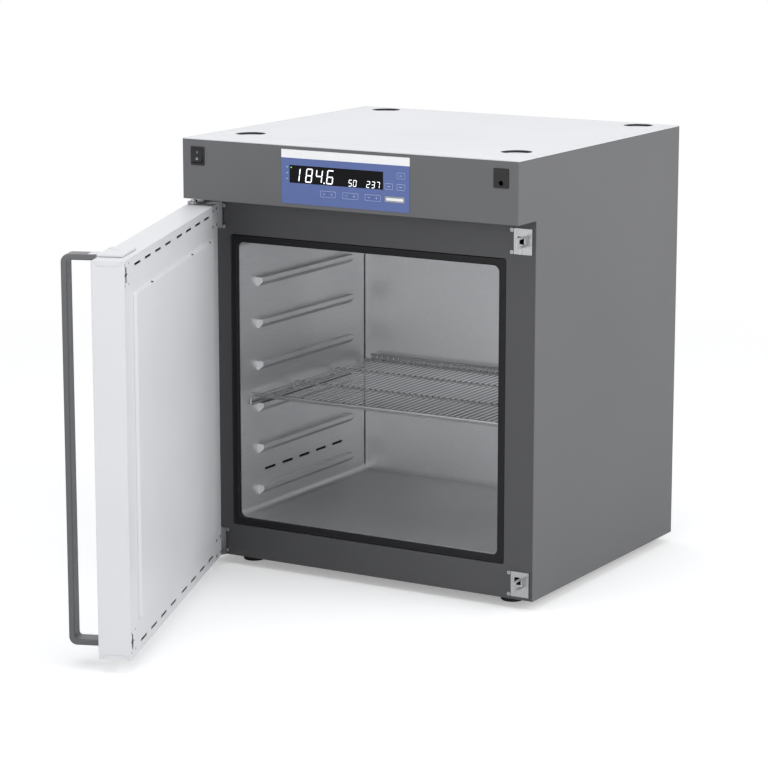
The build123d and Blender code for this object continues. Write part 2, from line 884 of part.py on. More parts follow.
with BuildPart() as blank_plate:
    with BuildSketch(upright(foil_face - 0.2)):
        with Locations((plate_label_x, pair_z)):
            RectangleRounded(plate_label_width - fit, key_height + 1 - fit, 1)
    extrude(amount=-foil_thickness - 0.2)
cabinet["blank_plate"] = blank_plate

# Display window let into the foil
with BuildPart() as display_window:
    with BuildSketch(upright(foil_face)):
        with Locations((display_shift, display_z)):
            Rectangle(display_width - 2 * key_clearance, display_height - 2 * key_clearance)
    extrude(amount=-foil_thickness)
    with BuildSketch(upright(head_face)):
        with Locations((display_shift, display_z)):
            Rectangle(display_width - 7, display_height - 7)
    extrude(amount=-sheet)
cabinet["display_window"] = display_window

# Display and key board on four pillars behind the head's face
with BuildPart() as display_board:
    display_face = head_face + sheet + board_depth
    with BuildSketch(upright(display_face)):
        with Locations((0, panel_mid)):
            Rectangle(panel_width, panel_height - 12)
    extrude(amount=-board_thickness)
    with BuildSketch(upright(head_face + sheet)):
        with Locations((0, panel_mid)):
            with GridLocations(panel_width - 8, panel_height - 20, 2, 2):
                Circle(3)
    extrude(amount=-board_depth)
    with BuildSketch(upright(head_face + sheet + fit)):
        with Locations((display_shift, display_z)):
            Rectangle(display_width - 10, display_height - 8)
    extrude(amount=-board_depth + fit)
cabinet["display_board"] = display_board


def panel_key(place):
    with BuildPart() as piece:
        with BuildSketch(upright(foil_face - key_proud)):
            with Locations(place):
                RectangleRounded(key_width, key_height, key_radius)
        extrude(amount=-(display_face - key_travel - 0.1 - foil_face + key_proud))
        fillet(piece.faces().sort_by(Axis.Y)[0].edges(), key_proud / 2)
    return piece


for key_name, place in key_places.items():
    cabinet[key_name] = panel_key(place)

# Mains switch: the bezel in the head's face and the rocker in it
with BuildPart() as switch_bezel:
    with BuildSketch(upright(head_face - module_proud)):
        with Locations((-module_x, module_z)):
            RectangleRounded(module_width, module_height, 2)
    extrude(amount=-module_proud)
    fillet(switch_bezel.faces().sort_by(Axis.Y)[0].edges(), module_proud / 2)
    with BuildSketch(upright(head_face)):
        with Locations((-module_x, module_z)):
            Rectangle(module_width - 3 - fit, module_height - 3 - fit)
    extrude(amount=-module_depth)
    with BuildSketch(upright(head_face - module_proud)):
        with Locations((-module_x, module_z)):
            Rectangle(rocker_width + 2 * rocker_clearance, rocker_height + 2 * rocker_clearance)
    extrude(amount=-module_proud - module_depth / 2, mode=Mode.SUBTRACT)
cabinet["switch_bezel"] = switch_bezel

# The rocker's two faces meet in a shallow V; its upper half is pressed in
pivot_y = head_face + rocker_pivot_depth
with BuildPart() as switch_rocker:
    half = rocker_height / 2 - 0.6
    face = rocker_pivot_depth + module_proud + 0.4
    lean = radians(rocker_tilt / 2)
    outline = [
        (-face / cos(lean), 0),
        (-(face + half * sin(lean)) / cos(lean), half),
        (rocker_pivot_depth - 1, half - 3),
        (rocker_pivot_depth + 2, 0),
        (rocker_pivot_depth - 1, 3 - half),
        (-(face + half * sin(lean)) / cos(lean), -half),
    ]
    with BuildSketch(Plane.YZ.offset(-module_x - rocker_width / 2)):
        with Locations(Location((pivot_y, module_z), -rocker_tilt / 2)):
            Polygon(*outline, align=None)
    extrude(amount=rocker_width)
cabinet["switch_rocker"] = switch_rocker

# Service port: a square module with one round socket, low in its face
port_z = module_z - port_hole_drop
with BuildPart() as service_port:
    with BuildSketch(upright(head_face - module_proud)):
        with Locations((module_x, module_z)):
            RectangleRounded(module_width, module_height, 2)
    extrude(amount=-module_proud)
    fillet(service_port.faces().sort_by(Axis.Y)[0].edges(), module_proud / 2)
    with BuildSketch(upright(head_face)):
        with Locations((module_x, module_z)):
            Rectangle(module_width - 3 - fit, module_height - 3 - fit)
    extrude(amount=-module_depth)
    with BuildSketch(upright(head_face - module_proud)):
        with Locations((module_x, port_z)):
            Circle(port_radius)
    extrude(amount=-port_hole_depth, mode=Mode.SUBTRACT)
cabinet["service_port"] = service_port

# Wire shelf: two runners, bent carriers across them and a grid welded on top
shelf_top_rail = rail_tops[shelf_rail_number - 1]
runner_x = wall_x - shelf_side_gap - runner_rod / 2
runner_z = shelf_top_rail + fit + runner_rod / 2
shelf_front = mouth_depth + shelf_front_gap
shelf_back = chamber_back - shelf_rear_gap
carrier_z = runner_z + shelf_lift
grid_z = carrier_z + carrier_rod / 2 + grid_wire / 2 - weld
grid_count = 2 * int((runner_x - carrier_bend) // grid_pitch) + 1
carrier_places = [shelf_front + (shelf_back - shelf_front) * share for share in (0, 0.37, 0.74, 1)]
with BuildPart() as wire_shelf:
    with BuildSketch(upright(shelf_front)):
        with Locations((-runner_x, runner_z), (runner_x, runner_z)):
            Circle(runner_rod / 2)
    extrude(amount=-(shelf_back - shelf_front))
    for y in carrier_places:
        with BuildLine() as carrier_line:
            FilletPolyline(
                (-runner_x, y, runner_z),
                (-runner_x, y, carrier_z),
                (runner_x, y, carrier_z),
                (runner_x, y, runner_z),
                radius=carrier_bend,
            )
        with BuildSketch(level(runner_z)):
            with Locations((-runner_x, y)):
                Circle(carrier_rod / 2)
        sweep(path=carrier_line.wire())
    with BuildSketch(upright(shelf_front)):
        with Locations((0, grid_z)):
            with GridLocations(grid_pitch, 1, grid_count, 1):
                RegularPolygon(grid_wire / 2, 8)
    extrude(amount=-(shelf_back - shelf_front))
    with BuildSketch(level(grid_z)):
        with Locations((0, shelf_back)):
            with GridLocations(grid_pitch, 1, grid_count, 1):
                RegularPolygon(grid_wire / 2, 8)
    extrude(amount=shelf_stop_height)
    rail_span = (grid_count - 1) * grid_pitch + 2 * grid_wire
    with BuildSketch(Plane.YZ.offset(-rail_span / 2)):
        with Locations((shelf_back, grid_z + shelf_stop_height)):
            Circle(grid_wire / 2 + 0.5)
    extrude(amount=rail_span)
    front_half = runner_x - carrier_bend / 2
    with BuildSketch(Plane.YZ.offset(-front_half)):
        with Locations((shelf_front - runner_rod / 2 + weld, grid_z)):
            Circle(runner_rod / 2)
    extrude(amount=2 * front_half)
cabinet["wire_shelf"] = wire_shelf

# Door shell: the front skin with its four sides, seams of the folded corners
with BuildPart() as door_shell:
    with BuildSketch(upright(door_front)):
        with Locations((0, door_mid)):
            Rectangle(door_width, door_height)
    extrude(amount=-door_thickness + door_skin)
    fillet(door_shell.faces().sort_by(Axis.Y)[0].edges(), door_edge_round)
    offset(amount=-door_skin, openings=door_shell.faces().sort_by(Axis.Y)[-1:])
    for side in (-1, 1):
        end_face = Plane(
            origin=(side * door_width / 2, 0, 0), x_dir=(0, side, 0), z_dir=(side, 0, 0)
        )
        with BuildSketch(end_face):
            for turn in (-1, 1):
                edge = door_mid + turn * door_height / 2
                for inset in (0, flap_seam_width):
                    foot = edge - turn * (flap_depth - inset)
                    Polygon(
                        (side * (door_front + flap_setback + 1.6 * inset), edge),
                        (side * (door_front + flap_setback + flap_bevel + inset / 2), foot),
                        (side * (door_back - flap_bevel - inset / 2), foot),
                        (side * (door_back - 1.6 * inset), edge),
                        align=None,
                        mode=Mode.SUBTRACT if inset else Mode.ADD,
                    )
        extrude(amount=-flap_seam_depth, mode=Mode.SUBTRACT)
    with BuildSketch(level(door_bottom)):
        with Locations((pin_x, pin_y)):
            Circle(pin_radius + bush_wall + fit / 3)
        with Locations((shaft_x, shaft_y)):
            Circle(shaft_radius + bush_wall + fit / 3)
    extrude(amount=door_height, mode=Mode.SUBTRACT)
    with BuildSketch(upright(door_front)):
        lower_arm_z = door_bottom + handle_lower_rise + handle_thickness / 2
        with Locations((shaft_x + lower_slot_width / 2, lower_arm_z)):
            Rectangle(lower_slot_width, lower_slot_height)
    extrude(amount=-door_skin, mode=Mode.SUBTRACT)
door["door_shell"] = door_shell

block_screw_places = [
    (x, z)
    for x in (pin_x, door_left + door_skin + block_width - 6)
    for z in (
        door_top - block_height + 4,
        door_top - 8,
        door_bottom + 8,
        door_bottom + block_height - 4,
    )
]

# Inner sheet with its rows of vent slots and a slot for each strike's lug
group_length = vent_slots_each_side * (vent_slot_length + vent_slot_gap) - vent_slot_gap
with BuildPart() as door_inner_sheet:
    with BuildSketch(upright(door_back - door_skin)):
        with Locations((0, door_mid)):
            Rectangle(door_width, door_height)
        for z in (door_top - vent_slot_inset, door_bottom + vent_slot_inset):
            for side in (-1, 1):
                first = vent_slot_middle_gap / 2 + vent_slot_length / 2
                for step in range(vent_slots_each_side):
                    x = side * (first + step * (vent_slot_length + vent_slot_gap))
                    with Locations((x, z)):
                        SlotOverall(vent_slot_length, vent_slot_height, mode=Mode.SUBTRACT)
        with Locations((lug_x, upper_latch_z), (lug_x, lower_latch_z)):
            RectangleRounded(latch_slot_width, latch_slot_height, 3, mode=Mode.SUBTRACT)
            Polygon(
                (latch_mouth_width / 2, 0),
                (0, latch_mouth_height / 2),
                (-latch_mouth_width / 2, 0),
                (0, -latch_mouth_height / 2),
                mode=Mode.SUBTRACT,
            )
        with Locations(*block_screw_places):
            Circle(screw_radius, mode=Mode.SUBTRACT)
    extrude(amount=-door_skin)
door["door_inner_sheet"] = door_inner_sheet

# Raised inner panel that meets the seal
with BuildPart() as door_inner_panel:
    raised_width = seal_outer_width + 2 * inner_panel_lap
    raised_height = seal_outer_height + 2 * inner_panel_lap
    with BuildSketch(upright(door_back)):
        with Locations((0, chamber_mid)):
            RectangleRounded(raised_width, raised_height, inner_panel_corner)
    extrude(amount=-inner_panel_rise)
    chamfer(door_inner_panel.faces().sort_by(Axis.Y)[-1].edges(), inner_panel_bevel)
    offset(amount=-door_skin, openings=door_inner_panel.faces().sort_by(Axis.Y)[:1])
    with BuildSketch(level(chamber_mid + raised_height / 2)):
        slot_row = door_back + inner_panel_rise - inner_panel_bevel / 2
        with Locations(*[(door_left + place, slot_row) for place in inner_panel_slots]):
            SlotOverall(inner_panel_slot, inner_panel_slot_height)
    extrude(amount=-inner_panel_bevel - 2 * door_skin, mode=Mode.SUBTRACT)
door["door_inner_panel"] = door_inner_panel

# Mineral wool in the door, cut away round the latches and the hinge blocks
latch_corner = shaft_inset_x + 30
with BuildPart() as door_insulation:
    with BuildSketch(upright(door_front + door_skin)):
        with Locations((0, door_mid)):
            Rectangle(door_width - 2 * door_edge_round - fit, door_height - 2 * door_edge_round - fit)
        for z in (door_top, door_bottom):
            with Locations((door_right, z)):
                Rectangle(2 * latch_corner, 2 * lower_latch_inset + 2 * lug_height, mode=Mode.SUBTRACT)
            with Locations((door_left, z)):
                Rectangle(2 * (block_width + 3), 2 * (block_height + 4), mode=Mode.SUBTRACT)
    extrude(amount=-(door_thickness - 2 * door_skin))
door["door_insulation"] = door_insulation


# Screws that hold the hinge blocks from the door's inner face
with BuildPart() as block_screws:
    with BuildSketch(upright(door_back)):
        with Locations(*block_screw_places):
            Circle(screw_head_radius - 0.6)
    extrude(amount=-block_screw_head)
    with BuildSketch(upright(door_back)):
        with Locations(*block_screw_places):
            Circle(screw_radius)
    extrude(amount=door_skin + block_screw_length)
door["block_screws"] = block_screws


# Hinge blocks and flanged bushes in the door's corners
def hinge_block(face_z, inward):
    with BuildPart() as piece:
        with BuildSketch(level(face_z)):
            block_depth = door_thickness - door_skin - door_edge_round
            block_left = door_left + door_skin
            with Locations((block_left + block_width / 2, door_back - door_skin - block_depth / 2)):
                Rectangle(block_width, block_depth)
            pocket_x = block_left + block_width - block_pocket / 2
            with Locations((pocket_x, door_front + door_edge_round + block_pocket / 2)):
                Rectangle(block_pocket, block_pocket, mode=Mode.SUBTRACT)
            with Locations((pin_x, pin_y)):
                Circle(pin_radius + bush_wall + fit / 3, mode=Mode.SUBTRACT)
        extrude(amount=inward * block_height)
        with BuildSketch(upright(door_back - door_skin)):
            with Locations(*block_screw_places):
                Circle(screw_radius)
        extrude(amount=block_screw_length, mode=Mode.SUBTRACT)
    return piece.part


with BuildPart() as hinge_blocks:
    add(hinge_block(door_top - door_skin, -1))
    add(hinge_block(door_bottom + door_skin, 1))
door["hinge_blocks"] = hinge_blocks


def bushes(x, y, bore):
    with BuildPart() as piece:
        for face, inward in ((door_top, -1), (door_bottom, 1)):
            with BuildSketch(level(face)):
                with Locations((x, y)):
                    Circle(bore + bush_wall + bush_flange_lap)
                    Circle(bore + pin_running, mode=Mode.SUBTRACT)
            extrude(amount=-inward * bush_flange)
            with BuildSketch(level(face)):
                with Locations((x, y)):
                    Circle(bore + bush_wall)
                    Circle(bore + pin_running, mode=Mode.SUBTRACT)
            extrude(amount=inward * bush_length)
    return piece


hinge_bushes = bushes(pin_x, pin_y, pin_radius)
door["hinge_bushes"] = hinge_bushes

# Latch cases: a floor under the bolt and a guide that it slides through
bolt_front = -lug_reach + lug_bar + bolt_clearance
bolt_y = bolt_front + bolt_width / 2
bolt_tip = lug_x + lug_thickness / 2 + bolt_past_lug
crank_y = shaft_y - crank_radius
guide_far = lug_x - latch_slot_width / 2 - 2
guide_near = guide_far - 22


def latch_case(latch_z, outward):
    """The case at one end; outward is the side of the latch that faces the door's end."""
    floor_z = latch_z - outward * (bolt_height / 2 + fit)
    with BuildPart() as piece:
        with BuildSketch(level(floor_z)):
            with Locations(((shaft_x - 16 + guide_far) / 2, (door_front + door_back) / 2)):
                Rectangle(guide_far - shaft_x + 16, door_thickness - 2 * door_skin)
            with Locations((shaft_x, shaft_y)):
                Circle(shaft_radius + pin_running, mode=Mode.SUBTRACT)
        extrude(amount=-outward * case_floor)
        with BuildSketch(level(floor_z)):
            with Locations(((guide_near + guide_far) / 2, bolt_y)):
                Rectangle(guide_far - guide_near, bolt_width + 16)
                Rectangle(guide_far - guide_near, bolt_width + 2 * bolt_side_gap, mode=Mode.SUBTRACT)
        extrude(amount=outward * (bolt_height + 2 * fit))
        with BuildSketch(level(floor_z + outward * (bolt_height + 2 * fit))):
            with Locations(((guide_near + guide_far) / 2, bolt_y)):
                Rectangle(guide_far - guide_near, bolt_width + 16)
        extrude(amount=outward * case_floor)
    return piece.part


with BuildPart() as latch_cases:
    add(latch_case(upper_latch_z, 1))
    add(latch_case(lower_latch_z, -1))
door["latch_cases"] = latch_cases


# Latch bolts: a bevelled tip, and a tail slotted for the crank's pin
def latch_bolt(latch_z):
    tail_far = guide_near - 4
    with BuildPart() as piece:
        with BuildSketch(level(latch_z - bolt_height / 2)):
            with Locations(((tail_far - bolt_web + bolt_tip) / 2, bolt_y)):
                Rectangle(bolt_tip - tail_far + bolt_web, bolt_width)
            bevel_corner = (bolt_tip, bolt_y + bolt_width / 2)
            Polygon(
                bevel_corner,
                (bolt_tip - bolt_bevel, bolt_y + bolt_width / 2),
                (bolt_tip, bolt_y - bolt_width / 6),
                align=None,
                mode=Mode.SUBTRACT,
            )
            tail_front = crank_y - crank_pin_radius - 3.5
            tail_back = crank_y + crank_pin_radius + 5
            with Locations(((shaft_x - 9 + tail_far) / 2, (tail_front + tail_back) / 2)):
                Rectangle(tail_far - shaft_x + 9, tail_back - tail_front)
            with Locations((tail_far - bolt_web / 2, (tail_front + bolt_y) / 2)):
                Rectangle(bolt_web, bolt_y - tail_front)
            with Locations((shaft_x, crank_y + 0.7)):
                Rectangle(
                    2 * crank_pin_radius + 2 * bolt_side_gap,
                    2 * crank_pin_radius + 3,
                    mode=Mode.SUBTRACT,
                )
        extrude(amount=bolt_height)
    return piece


latch_bolt_upper = latch_bolt(upper_latch_z)
latch_bolt_lower = latch_bolt(lower_latch_z)
door["latch_bolt_upper"] = latch_bolt_upper
door["latch_bolt_lower"] = latch_bolt_lower

# Bushes for the latch shafts in the door's top and bottom
shaft_bushes = bushes(shaft_x, shaft_y, shaft_radius)
door["shaft_bushes"] = shaft_bushes

# Handle: a flat bar bent round both corners, with a slanted end on its upper arm
handle_x = door_right - handle_inset - handle_width / 2
handle_front = door_back - door_thickness - handle_stand_off
upper_plate_z = door_top + arm_gap
upper_arm_top = upper_plate_z + plate_thickness
lower_arm_bottom = door_bottom + handle_lower_rise
with BuildPart() as handle_bar:
    arm_end = door_front - fit
    lower_end = door_front + door_skin + 4
    bar_back = handle_front + handle_thickness
    with BuildSketch(Plane.YZ.offset(handle_x - handle_width / 2)) as handle_profile:
        with BuildLine():
            outer_line = FilletPolyline(
                (arm_end, upper_arm_top),
                (handle_front, upper_arm_top),
                (handle_front, lower_arm_bottom),
                (lower_end, lower_arm_bottom),
                radius=handle_bend,
            )
            inner_line = FilletPolyline(
                (lower_end, lower_arm_bottom + handle_thickness),
                (bar_back, lower_arm_bottom + handle_thickness),
                (bar_back, upper_arm_top - handle_thickness + 0.5),
                (arm_end - arm_slope, upper_arm_top - handle_thickness + 0.5),
                radius=handle_bend - 8,
            )
            Line(outer_line @ 1, inner_line @ 0)
            Line(inner_line @ 1, outer_line @ 0)
        make_face()
    extrude(amount=handle_width)
    sides = handle_bar.faces().filter_by(Axis.X).edges()
    fillet(sides.filter_by_position(Axis.Y, handle_front - 1, arm_end - arm_slope - 1), handle_round)
    lower_plate_z = lower_arm_bottom + 2
    for plate_z, end in ((upper_plate_z, arm_end), (lower_plate_z, lower_end)):
        with BuildSketch(level(plate_z - fit / 3)):
            with Locations((handle_x, end - tongue_length / 2)):
                Rectangle(handle_width - 8, tongue_length)
        extrude(amount=plate_thickness + 2 * fit / 3, mode=Mode.SUBTRACT)
door["handle_bar"] = handle_bar


# Handle plates: they carry the bar on the two latch shafts
def handle_plate(plate_z, plate_left, plate_right, plate_front, bar_end, bore_depth):
    with BuildPart() as piece:
        with BuildSketch(level(plate_z)):
            plate_back = shaft_y + plate_reach
            with Locations(((plate_left + plate_right) / 2, (plate_back + plate_front) / 2)):
                RectangleRounded(plate_right - plate_left, plate_back - plate_front, 2)
            tongue_end = bar_end - tongue_length + fit
            tongue_root = plate_front + 8
            with Locations((handle_x, (tongue_end + tongue_root) / 2)):
                Rectangle(handle_width - 8 - 2 * fit / 3, tongue_root - tongue_end)
        extrude(amount=plate_thickness)
        with BuildSketch(level(plate_z)):
            with Locations((shaft_x, shaft_y)):
                Circle(shaft_radius + pin_running)
        extrude(amount=bore_depth, mode=Mode.SUBTRACT)
    return piece.part


plate_right = handle_x + handle_width / 2
upper_bore = plate_thickness - shaft_end_cover
upper_plate_left = plate_right - plate_length
upper_plate_front = door_front + plate_edge_gap
with BuildPart() as handle_plate_upper:
    add(
        handle_plate(
            upper_plate_z, upper_plate_left, plate_right, upper_plate_front, arm_end, upper_bore
        )
    )
    with BuildSketch(level(upper_plate_z)):
        notch_x = upper_plate_left + plate_notch_start
        Polygon(
            (notch_x - plate_notch_width, door_front),
            (notch_x, door_front),
            (shaft_x - shaft_radius - 2, shaft_y + plate_notch_end),
            align=None,
        )
    extrude(amount=plate_thickness, mode=Mode.SUBTRACT)

with BuildPart() as handle_plate_lower:
    lower_plate_left = shaft_x - lower_plate_lap
    add(
        handle_plate(
            lower_plate_z,
            lower_plate_left,
            plate_right - 4,
            lower_end + fit,
            lower_end,
            plate_thickness,
        )
    )
door["handle_plate_upper"] = handle_plate_upper
door["handle_plate_lower"] = handle_plate_lower


# Latch shafts: each has a crank arm whose pin drives a bolt
def latch_shaft(latch_z, outward, end_z):
    lever_z = latch_z + outward * (bolt_height / 2 + 0.6)
    near_z = latch_z - outward * (bolt_height / 2 + fit + case_floor)
    with BuildPart() as piece:
        with BuildSketch(level(near_z)):
            with Locations((shaft_x, shaft_y)):
                Circle(shaft_radius)
        extrude(amount=end_z - near_z)
        with BuildSketch(level(lever_z)):
            with Locations((shaft_x, shaft_y)):
                Circle(shaft_radius + 3)
            with Locations((shaft_x, crank_y)):
                Circle(crank_pin_radius + 2.5)
            make_hull()
        extrude(amount=outward * crank_thickness)
        with BuildSketch(level(lever_z)):
            with Locations((shaft_x, crank_y)):
                Circle(crank_pin_radius)
        extrude(amount=-outward * bolt_height)
    return piece.part


with BuildPart() as latch_shafts:
    add(latch_shaft(upper_latch_z, 1, upper_plate_z + upper_bore - 0.1))
    add(latch_shaft(lower_latch_z, -1, door_bottom - bush_flange))
door["latch_shafts"] = latch_shafts

# The door turns about its pins to where the photographed oven's door stands
swing = Location((pin_x, pin_y, 0), (0, 0, -open_angle)) * Location((-pin_x, -pin_y, 0))

# The origin is set under the middle of the whole part's box, on the bench
boxes = [piece.part.bounding_box() for piece in cabinet.values()]
boxes += [piece.part.moved(swing).bounding_box() for piece in door.values()]
middle_x = (min(box.min.X for box in boxes) + max(box.max.X for box in boxes)) / 2
middle_y = (min(box.min.Y for box in boxes) + max(box.max.Y for box in boxes)) / 2
stand = Location((-middle_x, -middle_y, 0))

for group, place in ((cabinet, stand), (door, stand * swing)):
    for label, piece in group.items():
        piece.part.label = label
        placed = piece.part.moved(place)
        placed.label = label
        export_step(placed, f"parts/{label}.step")
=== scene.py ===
# %% [markdown]
# A bench laboratory oven stands with its door open. Its sheet metal, latches, shelf and
# keys come from the engineering model, which is loaded here as a fixed frame. Blender adds
# what a solid model can't hold: the finish of each surface, the lit digits and the print.
# The oven stands on z = 0, its front looks along -Y, and all sizes are in metres.

# %% Load the frame
import math

import bpy
from mathutils import Matrix, Vector


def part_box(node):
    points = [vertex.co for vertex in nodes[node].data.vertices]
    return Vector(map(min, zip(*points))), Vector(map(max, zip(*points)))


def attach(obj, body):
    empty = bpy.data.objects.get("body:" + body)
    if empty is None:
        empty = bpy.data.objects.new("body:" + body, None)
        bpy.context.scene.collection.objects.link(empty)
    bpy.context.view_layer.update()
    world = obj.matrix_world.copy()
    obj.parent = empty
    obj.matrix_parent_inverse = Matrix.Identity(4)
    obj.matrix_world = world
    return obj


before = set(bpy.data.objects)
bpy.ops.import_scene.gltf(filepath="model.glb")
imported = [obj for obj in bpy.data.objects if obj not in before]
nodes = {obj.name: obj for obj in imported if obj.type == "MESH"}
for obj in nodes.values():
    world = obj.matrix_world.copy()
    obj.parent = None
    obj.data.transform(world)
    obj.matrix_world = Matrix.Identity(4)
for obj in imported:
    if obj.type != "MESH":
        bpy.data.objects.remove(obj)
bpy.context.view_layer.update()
MM = 0.001
frame_low, frame_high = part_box("front_frame")
middle_x = (frame_low[0] + frame_high[0]) / 2
front_y = frame_low[1]
print("pieces loaded:", len(nodes))

# %% [markdown]
# The camera stands to the oven's right and looks a little down on it from almost five
# metres, through a long lens. A wide lens close by would spread the cabinet's edges apart,
# so the place was worked out from those edges, and it is given from the front frame, which
# keeps the view if the oven is moved.

# %% Camera
def add_camera(place, yaw, pitch, lens):
    data = bpy.data.cameras.new("camera")
    data.lens = lens
    camera = bpy.data.objects.new("camera", data)
    bpy.context.collection.objects.link(camera)
    camera.location = place
    camera.rotation_euler = (math.pi / 2 + pitch, 0, -yaw)
    bpy.context.scene.camera = camera
    return camera


CAMERA_RIGHT, CAMERA_BEFORE, CAMERA_HEIGHT = 2.6075, 4.3314, 1.4102
CAMERA_YAW, CAMERA_PITCH, CAMERA_LENS = -0.5349, -0.2010, 132.35
camera_place = (middle_x + CAMERA_RIGHT, front_y - CAMERA_BEFORE, CAMERA_HEIGHT)
camera = add_camera(camera_place, CAMERA_YAW, CAMERA_PITCH, CAMERA_LENS)
print("camera stands at", tuple(round(v, 3) for v in camera.location))

# %% [markdown]
# A product studio has a pale sweep and large soft lamps. The world gives an even, weak
# light, and looks white to the lens and in reflections. One big lamp stands to the right
# of the oven, one in front and one above, so that the side is the lightest of the grey
# faces and the front is a shade darker. Sun lamps would be simpler, but a large area gives
# the soft edge that the shadow under the door has.

# %% Studio
scene = bpy.context.scene
scene.view_settings.view_transform = "Standard"
WHITE = (1, 1, 1)
SKY = (0.96, 0.98, 1)


def ray_mix(tree, rays, plain, shown):
    """plain for most rays, and shown for the kinds of ray that are named."""
    path = tree.nodes.new("ShaderNodeLightPath")
    kind = path.outputs[rays[0]]
    for name in rays[1:]:
        total = tree.nodes.new("ShaderNodeMath")
        total.use_clamp = True
        tree.links.new(kind, total.inputs[0])
        tree.links.new(path.outputs[name], total.inputs[1])
        kind = total.outputs[0]
    mix = tree.nodes.new("ShaderNodeMixShader")
    tree.links.new(kind, mix.inputs[0])
    tree.links.new(plain, mix.inputs[1])
    tree.links.new(shown, mix.inputs[2])
    return mix.outputs[0]


def glow(tree, kind, color, strength):
    node = tree.nodes.new(kind)
    node.inputs["Color"].default_value = (*color, 1)
    node.inputs["Strength"].default_value = strength
    return node.outputs[0]


def add_world(seen_strength, light_strength):
    world = bpy.data.worlds.new("studio")
    scene.world = world
    world.use_nodes = True
    tree = world.node_tree
    tree.nodes.clear()
    output = tree.nodes.new("ShaderNodeOutputWorld")
    felt = glow(tree, "ShaderNodeBackground", SKY, light_strength)
    seen = glow(tree, "ShaderNodeBackground", WHITE, seen_strength)
    rays = ("Is Camera Ray", "Is Glossy Ray", "Is Transmission Ray")
    tree.links.new(ray_mix(tree, rays, felt, seen), output.inputs["Surface"])


def add_lamp(name, place, target, width, height, power):
    data = bpy.data.lights.new(name, "AREA")
    data.shape = "RECTANGLE"
    data.size = width
    data.size_y = height
    data.energy = power
    lamp = bpy.data.objects.new(name, data)
    bpy.context.collection.objects.link(lamp)
    lamp.location = place
    aim = Vector(target) - Vector(place)
    lamp.rotation_euler = aim.to_track_quat("-Z", "Y").to_euler()
    return lamp


add_world(seen_strength=1.0, light_strength=0.58)
# Each softbox: its name, place, the point it faces, its width, height and watts
softboxes = (
    ("side_softbox", (3.4, 0.2, 1.9), (0, 0.1, 0.45), 2.4, 2.4, 60),
    ("front_softbox", (-0.2, -4.0, 1.3), (0, 0, 0.3), 2.6, 2.0, 33),
    ("overhead_softbox", (-0.4, -0.2, 3.2), (0, 0, 0.5), 3, 3, 30),
)
for softbox in softboxes:
    add_lamp(*softbox)
print("softboxes:", len(softboxes))

# %% [markdown]
# The sweep is one large plane. It could be bent up into a wall, but then the other views
# would need walls as well. Here the paper near the oven takes its shadow and glows faintly,
# and farther off it fades into plain white for the lens, so that no horizon shows.

# %% Floor
FLOOR_SIZE = 60
FLOOR_PAPER = (0.86, 0.86, 0.86)
FLOOR_GLOW = 0.31


def add_floor(near, far):
    bpy.ops.object.select_all(action="DESELECT")
    bpy.ops.mesh.primitive_plane_add(size=FLOOR_SIZE, location=(0, 0, 0))
    floor = bpy.context.active_object
    floor.name = "studio_floor"
    material = bpy.data.materials.new("pale_sweep")
    material.use_nodes = True
    tree = material.node_tree
    shader = tree.nodes["Principled BSDF"]
    shader.inputs["Base Color"].default_value = (*FLOOR_PAPER, 1)
    shader.inputs["Roughness"].default_value = 0.9
    dark = glow(tree, "ShaderNodeEmission", WHITE, 0)
    faint = glow(tree, "ShaderNodeEmission", WHITE, FLOOR_GLOW)
    white = glow(tree, "ShaderNodeEmission", WHITE, 1)
    lit = tree.nodes.new("ShaderNodeAddShader")
    tree.links.new(shader.outputs[0], lit.inputs[0])
    tree.links.new(ray_mix(tree, ("Is Camera Ray",), dark, faint), lit.inputs[1])
    spot = tree.nodes.new("ShaderNodeNewGeometry")
    reach = tree.nodes.new("ShaderNodeVectorMath")
    reach.operation = "LENGTH"
    tree.links.new(spot.outputs["Position"], reach.inputs[0])
    fade = tree.nodes.new("ShaderNodeMapRange")
    fade.interpolation_type = "SMOOTHSTEP"
    fade.inputs["From Min"].default_value = near
    fade.inputs["From Max"].default_value = far
    tree.links.new(reach.outputs["Value"], fade.inputs["Value"])
    mix = tree.nodes.new("ShaderNodeMixShader")
    tree.links.new(fade.outputs["Result"], mix.inputs[0])
    tree.links.new(lit.outputs[0], mix.inputs[1])
    rays = ("Is Camera Ray", "Is Glossy Ray")
    tree.links.new(ray_mix(tree, rays, shader.outputs[0], white), mix.inputs[2])
    tree.links.new(mix.outputs[0], tree.nodes["Material Output"].inputs["Surface"])
    floor.data.materials.append(material)
    return floor


floor = add_floor(near=1.3, far=3.4)
print("floor is", floor.name)

# %% [markdown]
# A finish is a small network of nodes. It could be wired by hand, link by link, but written
# as arithmetic it stays readable. So one class wraps a socket, and adding or multiplying two
# of them adds the Math node for it. The numbers below are a node's unnamed sockets: the
# Object output of Texture Coordinate, and the colour sockets of the Mix node.

# %% Shader arithmetic
OBJECT_OUTPUT = 3
MIX_AMOUNT, MIX_DARK, MIX_LIGHT, MIX_COLOR = 0, 6, 7, 2


class Signal:
    """A shader socket that carries one number over the surface."""

    def __init__(self, finish, socket):
        self.finish = finish
        self.socket = socket

    def __add__(self, other):
        return self.finish.node("Math", {"operation": "ADD"}, self, other)

    def __mul__(self, other):
        return self.finish.node("Math", {"operation": "MULTIPLY"}, self, other)

    __radd__ = __add__
    __rmul__ = __mul__


